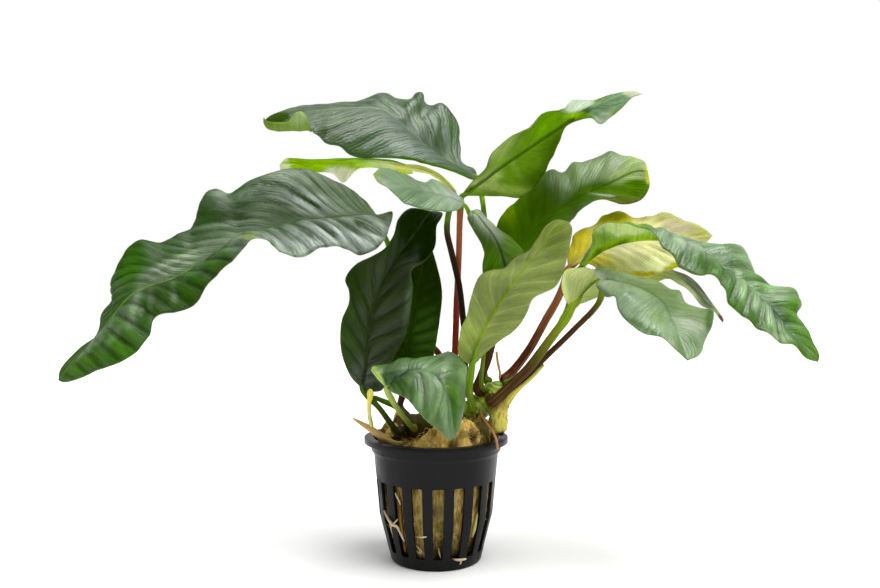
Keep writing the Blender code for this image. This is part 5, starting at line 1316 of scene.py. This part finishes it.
    faces = sheet_faces(rows, columns)
    mesh = bpy.data.meshes.new(name)
    mesh.from_pydata(np.vstack([flat(top), flat(under)]).tolist(), [], faces)
    mesh.shade_smooth()
    indices = np.ones(len(faces), np.int32)
    indices[:(rows + 1) * (columns - 1)] = 0
    mesh.polygons.foreach_set("material_index", indices)
    tint = np.vstack([flat(painted("top", "rib")), flat(painted("under", "keel"))])
    mesh.attributes.new("tint", "FLOAT_COLOR", "POINT").data.foreach_set("color", tint.ravel())
    for label, values in (("vein", phase), ("edge_mm", width * (1 - share) / MM)):
        column = np.tile(flat(values)[:, 0], 2)
        mesh.attributes.new(label, "FLOAT", "POINT").data.foreach_set("value", column)
    piece = place(name + "_piece", mesh, *(
        finish_of(finish["skin"] + face_name) for face_name in ("_top", "_underside")))
    hand_over(piece, finish["slot"], name)


def rhizome_line(count=RHIZOME_ROWS):
    return smooth_line([tuple(value * MM for value in point) for point in RHIZOME], count)


def rhizome_foot(point):
    """Where a rod that comes from the point goes into the rhizome."""
    axis = rhizome_line()
    nearest = axis[np.argmin(np.linalg.norm(axis[:, :3] - point, axis=1) - axis[:, 3])]
    return nearest[:3] + unit(point - nearest[:3]) * (nearest[3] - FOOT_SINK_MM * MM)


def stalk_line(name, foot_radius, top_radius, route):
    """A stalk's axis and radius: flared where it leaves the rhizome, swollen below the blade, and running
    out along the underside of the midrib."""
    middle, left, right = blade_rows(LEAVES[name], 200)
    face = np.cross(right - left, np.gradient(middle, axis=0))
    face[:2] = face[2]
    face = unit(face)
    points = [seen(point) for point in route]
    start = np.argmin(np.linalg.norm(middle - points[-1], axis=1))
    points.insert(0, rhizome_foot(points[0]))
    points.append(middle[start] - face[start] * top_radius * 0.5 * MM)
    radii = list(np.linspace(foot_radius, top_radius, len(points)) * MM)
    stalk_end = line_length(points)
    gone = distances(middle)
    for share in (0.35, 0.7, 1.0):
        k = np.searchsorted(gone - gone[start], share * BLADE_RUN_MM * MM)
        radius = top_radius * (1 - RUN_TAPER * share) * MM
        points.append(middle[k] - face[k] * (radius + RUN_DEPTH_MM * MM))
        radii.append(radius)
    line = spaced_line(np.column_stack([points, radii]), 0.8)
    place_on = np.linspace(0, line_length(line), len(line))
    flare = 1 + FLARE * np.exp(-(place_on / FLARE_REACH) ** 2)
    swelling = 1 + SWELLING * np.exp(-((place_on - stalk_end + SWELLING_BELOW) / SWELLING_REACH) ** 2)
    line[:, 3] *= flare * swelling
    return rounded(line)


def slot_outline(pitch):
    """Half widths and heights round a wall slot: tapered with the pot, with rounded corners."""
    foot = FOOT_SLOT_RADIUS * pitch * SLOT_SHARE / 2
    top = TOP_SLOT_RADIUS * pitch * SLOT_SHARE / 2
    outline = []
    corners = (
        (1, -1, foot, SLOT_FOOT), (1, 1, top, SLOT_TOP), (-1, 1, top, SLOT_TOP), (-1, -1, foot, SLOT_FOOT))
    for number, (x_side, z_side, half, height) in enumerate(corners):
        for k in range(CORNER_STEPS + 1):
            angle = math.radians(90 * (number - 1 + k / CORNER_STEPS))
            outline.append((x_side * (half - SLOT_CORNER) + SLOT_CORNER * math.cos(angle),
                            height - z_side * SLOT_CORNER + SLOT_CORNER * math.sin(angle)))
    return outline


def add_prism(mesh, bottom, top):
    """A closed prism between two loops of points."""
    low = [mesh.verts.new(point) for point in bottom]
    high = [mesh.verts.new(point) for point in top]
    mesh.faces.new(low[::-1])
    mesh.faces.new(high)
    for k in range(len(low)):
        after = (k + 1) % len(low)
        mesh.faces.new((low[k], low[after], high[after], high[k]))


def slot_cutter(sizes):
    """The tool that cuts one wall slot and one floor slot, at +X."""
    mesh = bmesh.new()
    pitch = 2 * math.pi / sizes.slot_count
    outline = slot_outline(pitch)
    add_prism(mesh, *([(x, y, z) for y, z in outline] for x in WALL_CUT))
    near, far = FLOOR_SLOT_RADII
    floor = []
    for radius, side in ((near, -1), (far, -1), (far, 1), (near, 1)):
        angle = side * pitch * SLOT_SHARE / 2
        floor.append((radius * math.cos(angle), radius * math.sin(angle)))
    add_prism(mesh, *([(x, y, z) for x, y in floor] for z in FLOOR_CUT))
    bmesh.ops.recalc_face_normals(mesh, faces=mesh.faces)
    data = bpy.data.meshes.new("slot_cutter")
    mesh.to_mesh(data)
    mesh.free()
    cutter = place("slot_cutter", data)
    cutter.hide_render = True
    return cutter


def turned_mesh(name, points, segments):
    """A closed mesh of points that stand in rings between a first and a last point on the axis."""
    last = len(points) - 1
    faces = []
    for k in range(segments):
        after = (k + 1) % segments
        faces.append((0, 1 + after, 1 + k))
        for a in range(1, last - segments, segments):
            faces.append((a + k, a + after, a + segments + after, a + segments + k))
        faces.append((last - segments + k, last - segments + after, last))
    mesh = bpy.data.meshes.new(name)
    mesh.from_pydata(points, [], faces)
    return mesh


def make_pot(sizes):
    """The turned wall with its slots cut round it and every edge softened."""
    outer, inner = zip(*POT_WALL)
    profile = outer + inner[::-1]
    points = [(0, 0, profile[0][1])]
    for radius, height in profile[1:-1]:
        points += ring(radius, height, POT_SEGMENTS)
    points.append((0, 0, profile[-1][1]))
    cutter = slot_cutter(sizes)
    piece = grown("net_pot_piece", turned_mesh("net_pot", points, POT_SEGMENTS), slot_tree(), {
        "Cutter": cutter, "Count": sizes.slot_count, "Turn": SLOT_TURN - math.pi / 2,
        "Finish": finish_of("black_plastic")})
    bpy.data.objects.remove(cutter)
    bevel = piece.modifiers.new("Soft edges", "BEVEL")
    bevel.width = sizes.soft_edge
    bevel.segments = 2
    bevel.limit_method = "ANGLE"
    bevel.angle_limit = math.radians(32)
    softened = bake(piece)
    softened.shade_smooth()
    softened.set_sharp_from_angle(angle=math.radians(38))
    hand_over(piece, "pot_plastic", "net_pot")


def plug_height(x, y):
    """The height of the plug's torn top, which is level where it meets the pot's wall."""
    angle = math.atan2(y, x)
    height = PLUG_TOP + PLUG_LUMP * math.sin(3 * angle + 2) * math.cos(5 * angle - 4)
    for tuft_x, tuft_y, tall, reach_x, reach_y in TUFTS:
        height += tall * math.exp(-((x - tuft_x) / reach_x) ** 2 - ((y - tuft_y) / reach_y) ** 2)
    return height


def in_pattern(pattern, *place_on):
    """Where a place lies in one of the rockwool's patterns."""
    return Vector([value * often + shift for value, often, shift in zip(place_on, *pattern)])


def make_plug(sizes):
    """The rockwool: upright strands inside the wall and a torn, flaky top."""
    stations = [(radius - PLUG_CLEAR, height) for _, (radius, height) in POT_WALL[FIRST_UPRIGHT:PLUG_STATION]]
    stations[0] = (PLUG_FOOT_RADIUS, WALL + PLUG_CLEAR)
    station_radii, station_heights = zip(*stations)
    heights = np.linspace(station_heights[0], station_heights[-1], PLUG_SIDE_ROWS)
    radii = np.interp(heights, station_heights, station_radii)
    points = [(0.0, 0.0, heights[0])]
    # How much painted shade darkens each point where it lies in a hollow of the torn surface
    hollow_shades = [0.0]
    for radius, height in zip(radii, heights):
        for x, y, z in ring(radius, height, PLUG_SEGMENTS):
            strand = noise.fractal(in_pattern(STRANDS, x, y, z), 1.0, 2.0, 3)
            lump = noise.noise(in_pattern(LUMPS, x, y, z))
            inset = sizes.plug_roughness * (0.9 - 0.35 * strand - 0.75 * lump)
            share = max(0.0, 1 - max(0.0, inset) / radius)
            points.append((x * share, y * share, z))
            hollow_shades.append(min(1.0, max(0.0, -1.6 * lump - 0.35)))
    for radius in np.linspace(radii[-1], 0.0006, PLUG_TOP_ROWS + 1)[1:]:
        inside = min(1.0, (radii[-1] - radius) / 0.002)
        for x, y, _ in ring(radius, 0.0, PLUG_SEGMENTS):
            torn = abs(noise.fractal(in_pattern(TEARS, x, y, 0), 0.8, 2.1, 4))
            flake = noise.fractal(in_pattern(FLAKES, x, y, 0), 0.8, 2.0, 3)
            lump = noise.noise(in_pattern(KNOBS, x, y, 0))
            rough = inside * sizes.plug_roughness * (6.0 * (0.28 - torn) + 1.4 * flake + 3.0 * lump)
            side_step = inside * 0.0009 * noise.noise(in_pattern(DRIFTS, x, y, 0))
            points.append((x + side_step, y - side_step, plug_height(x, y) + rough))
            hollow_shades.append(inside * min(1.0, max(0.0, 1.9 * torn - 0.75 - 1.1 * lump)))
    points.append((0.0, 0.0, PLUG_TOP))
    hollow_shades.append(0.0)
    mesh = turned_mesh("rockwool_plug", points, PLUG_SEGMENTS)
    mesh.shade_smooth()
    mesh.attributes.new("hollow_shade", "FLOAT", "POINT").data.foreach_set("value", hollow_shades)
    piece = place("rockwool_plug_piece", mesh, finish_of("rockwool"))
    hand_over(piece, "rockwool", "rockwool_plug")
    fibres = grown("rockwool_fibres", mesh.copy(), fibre_tree(), {
        "Density": sizes.fibre_density, "Length": 0.0032, "Thickness": 0.00006, "Lift": 0.0009, "Seed": 4,
        "Finish": finish_of("fibre")})
    hand_over(fibres, "rockwool")


def make_rhizome():
    """The creeping rhizome with swollen nodes and ringed leaf scars."""
    line = rhizome_line(150)
    t = np.linspace(0, 1, len(line))
    rings = np.abs(np.sin(math.pi * (9 * t + 0.3 * wave(11, 6, t))))
    line[:, 3] *= 0.93 + 0.09 * rings ** 0.5 + 0.05 * wave(12, 9, t)
    line[:, 3] *= round_end(np.minimum(t / 0.05, (1 - t) / 0.06), 0.02)
    piece = make_rods("rhizome", [line], finish_of("rhizome_skin"), 36, 0.0009, 190.0)
    hand_over(piece, "rhizome_green", "rhizome")


def make_stalks():
    for name, (slot, foot_radius, top_radius, route) in STALKS.items():
        line = stalk_line(name, foot_radius, top_radius, route)
        piece = make_rods("stalk_" + name, [line], finish_of(SKINS.get(name, slot)), 16, 0.00022, 300.0)
        hand_over(piece, slot, "stalk_" + name)


def make_threads():
    for name, (slot, route) in THREADS.items():
        points = [(*seen(point[:3]), point[3] * MM) for point in route]
        if name in ROOTED:
            foot = rhizome_foot(np.array(points[0][:3]))
            points.insert(0, (*foot, points[0][3]))
        line = rounded(spaced_line(points, 0.35))
        piece = make_rods(name, [line], finish_of(SKINS.get(name, slot)), 14, *UNEVEN.get(name, EVEN_THREAD))
        hand_over(piece, slot, name)


def beside_wall(across, up, radius, out):
    """The place and radius of a point of a thin root, this many millimetres out from the plug's side."""
    radii, heights = zip(*(inner for _, inner in POT_WALL[FIRST_UPRIGHT:]))
    depth = ROOT_DEPTH
    for attempt in range(ROOT_ROUNDS):
        x, _, height = seen((across, depth / MM, up))
        distance = np.interp(height, heights, radii) - GAP + (out - radius) * MM
        depth = -math.sqrt(max(distance ** 2 - x ** 2, 1e-6))
    return (*seen((across, depth / MM, up)), radius * MM)


def make_fine_roots():
    """Thin roots that run between the plug and the pot's wall, seen through its slots."""
    for name, (finish, routes) in FINE_ROOTS.items():
        lines = [rounded(spaced_line([beside_wall(*point) for point in route], 0.2)) for route in routes]
        piece = make_rods(name, lines, finish_of(finish), 8, 0.0004, 700.0)
        hand_over(piece, "root_tan")


def white_surround(stage):
    """A white surround: bright behind the plant, dim on the camera's side."""
    world = bpy.data.worlds.new("white_surround")
    world.use_nodes = True
    tree = world.node_tree
    direction = parts_of(tree, add(tree, "ShaderNodeTexCoord").outputs["Generated"])
    behind = ramp(tree, direction["Y"], -0.4, 0.5, stage.room, stage.backdrop)
    above = ramp(tree, direction["Z"], 0.3, 0.85, 0.0, stage.ceiling)
    plain_white = add(tree, "ShaderNodeLightPath").outputs["Is Camera Ray"]
    lit = math_node(tree, "MAXIMUM", behind, above)
    background = tree.nodes["Background"].inputs
    feed(tree, background["Color"], (1.0, 1.0, 1.0, 1.0))
    feed(tree, background["Strength"], math_node(tree, "MAXIMUM", plain_white, lit))
    return world


def make_stage(stage):
    """A wide pale floor, a white surround, a soft box above, and the camera where the photo was taken."""
    scene = bpy.context.scene
    mesh = bpy.data.meshes.new("floor")
    mesh.from_pydata(ring(FLOOR_RADIUS, 0.0, FLOOR_SIDES), [], [tuple(range(FLOOR_SIDES))])
    place("floor", mesh, finish_of("pale_floor"))
    scene.world = white_surround(stage)
    light = bpy.data.lights.new("overhead_box", "SUN")
    light.angle = stage.overhead_angle
    light.energy = stage.overhead
    lamp = place("overhead_box", light)
    lamp.rotation_euler = (-Vector(stage.overhead_from)).to_track_quat("-Z", "Y").to_euler()
    lens = bpy.data.cameras.new("camera")
    lens.sensor_width = SENSOR_MM
    lens.lens = SENSOR_MM * FOCAL_PIXELS / PHOTO_WIDTH
    camera = place("camera", lens)
    camera.location = (EYE_SIDE, -EYE_DISTANCE, EYE_HEIGHT)
    camera.rotation_euler = (math.pi / 2, 0.0, 0.0)
    scene.camera = camera
    scene.view_settings.view_transform = "Standard"


# The add-on


class PotSizes(bpy.types.PropertyGroup):
    slot_count: IntProperty(name="Slots", description="Upright slots round the pot's wall", default=18, min=6)
    soft_edge: FloatProperty(
        name="Soft edge", description="How far the moulded edges are rounded", default=0.00025,
        unit="LENGTH", precision=5)
    plug_roughness: FloatProperty(
        name="Rockwool roughness", description="How deep the rockwool's surface is torn", default=0.0005,
        unit="LENGTH", precision=5)
    fibre_density: FloatProperty(
        name="Fibres", description="Loose fibres on each square metre of rockwool", default=420000.0)


class LeafSizes(bpy.types.PropertyGroup):
    thickness: FloatProperty(
        name="Thickness", description="Thickness of a blade beside its midrib", default=0.00045,
        unit="LENGTH", precision=5)
    camber: FloatProperty(
        name="Camber", description="Strength of the arch of each half of a blade", default=1.0)
    relief: FloatProperty(
        name="Relief", description="Strength of the swellings between side veins", default=2.0)


class StageLights(bpy.types.PropertyGroup):
    backdrop: FloatProperty(name="Backdrop", description="Brightness of the white backdrop", default=0.9)
    room: FloatProperty(name="Room", description="Brightness of the room on the camera's side", default=0.12)
    ceiling: FloatProperty(name="Ceiling", description="Brightness of the white ceiling", default=0.85)
    overhead: FloatProperty(name="Overhead", description="Strength of the soft box above", default=3.8)
    overhead_angle: FloatProperty(
        name="Overhead angle", description="How wide the soft box is, seen from the plant",
        default=math.radians(45), subtype="ANGLE")
    overhead_from: FloatVectorProperty(
        name="Overhead from", description="Direction of the soft box from the plant",
        default=(0.35, -0.2, 1.0), subtype="DIRECTION")


class PLANT_OT_materials(bpy.types.Operator):
    """Makes every finish of the plant, the pot and the floor"""
    bl_idname = "plant.materials"
    bl_label = "Make finishes"

    def execute(self, context):
        make_materials()
        rod_tree()
        return {"FINISHED"}


class PLANT_OT_pot(bpy.types.Operator):
    """Makes the slotted net pot"""
    bl_idname = "plant.pot"
    bl_label = "Make net pot"

    def execute(self, context):
        make_pot(context.scene.pot_sizes)
        return {"FINISHED"}


class PLANT_OT_plug(bpy.types.Operator):
    """Makes the rockwool plug and its loose fibres"""
    bl_idname = "plant.plug"
    bl_label = "Make rockwool plug"

    def execute(self, context):
        make_plug(context.scene.pot_sizes)
        return {"FINISHED"}


class PLANT_OT_rhizome(bpy.types.Operator):
    """Makes the creeping rhizome"""
    bl_idname = "plant.rhizome"
    bl_label = "Make rhizome"

    def execute(self, context):
        make_rhizome()
        return {"FINISHED"}


class PLANT_OT_leaves(bpy.types.Operator):
    """Makes the fifteen leaf blades"""
    bl_idname = "plant.leaves"
    bl_label = "Make leaves"

    def execute(self, context):
        for name, leaf in LEAVES.items():
            make_blade(name, leaf, context.scene.leaf_sizes)
        return {"FINISHED"}


class PLANT_OT_stalks(bpy.types.Operator):
    """Makes the leaf stalks"""
    bl_idname = "plant.stalks"
    bl_label = "Make stalks"

    def execute(self, context):
        make_stalks()
        return {"FINISHED"}


class PLANT_OT_roots(bpy.types.Operator):
    """Makes the roots, shoots, rhizome branch and fine roots"""
    bl_idname = "plant.roots"
    bl_label = "Make roots and shoots"

    def execute(self, context):
        make_threads()
        make_fine_roots()
        return {"FINISHED"}


class PLANT_OT_stage(bpy.types.Operator):
    """Sets up the floor, the lights and the camera"""
    bl_idname = "plant.stage"
    bl_label = "Set up stage"

    def execute(self, context):
        make_stage(context.scene.stage_lights)
        return {"FINISHED"}


STEPS = (PLANT_OT_materials, PLANT_OT_pot, PLANT_OT_plug, PLANT_OT_rhizome, PLANT_OT_leaves,
         PLANT_OT_stalks, PLANT_OT_roots, PLANT_OT_stage)


class PLANT_PT_panel(bpy.types.Panel):
    """Sizes and steps of the potted plant"""
    bl_label = "Potted plant"
    bl_space_type = "VIEW_3D"
    bl_region_type = "UI"
    bl_category = "Plant"

    def draw(self, context):
        for group in ("pot_sizes", "leaf_sizes", "stage_lights"):
            settings = getattr(context.scene, group)
            box = self.layout.box()
            for label in settings.__annotations__:
                box.prop(settings, label)
        for step in STEPS:
            self.layout.operator(step.bl_idname)


CLASSES = (PotSizes, LeafSizes, StageLights, *STEPS, PLANT_PT_panel)


def register():
    for kind in CLASSES:
        bpy.utils.register_class(kind)
    bpy.types.Scene.pot_sizes = PointerProperty(type=PotSizes)
    bpy.types.Scene.leaf_sizes = PointerProperty(type=LeafSizes)
    bpy.types.Scene.stage_lights = PointerProperty(type=StageLights)


def unregister():
    del bpy.types.Scene.stage_lights
    del bpy.types.Scene.leaf_sizes
    del bpy.types.Scene.pot_sizes
    for kind in reversed(CLASSES):
        bpy.utils.unregister_class(kind)


def main():
    register()
    bpy.ops.plant.materials()
    bpy.ops.plant.pot()
    bpy.ops.plant.plug()
    bpy.ops.plant.rhizome()
    bpy.ops.plant.leaves()
    bpy.ops.plant.stalks()
    bpy.ops.plant.roots()
    bpy.ops.plant.stage()


if __name__ == "__main__":
    main()
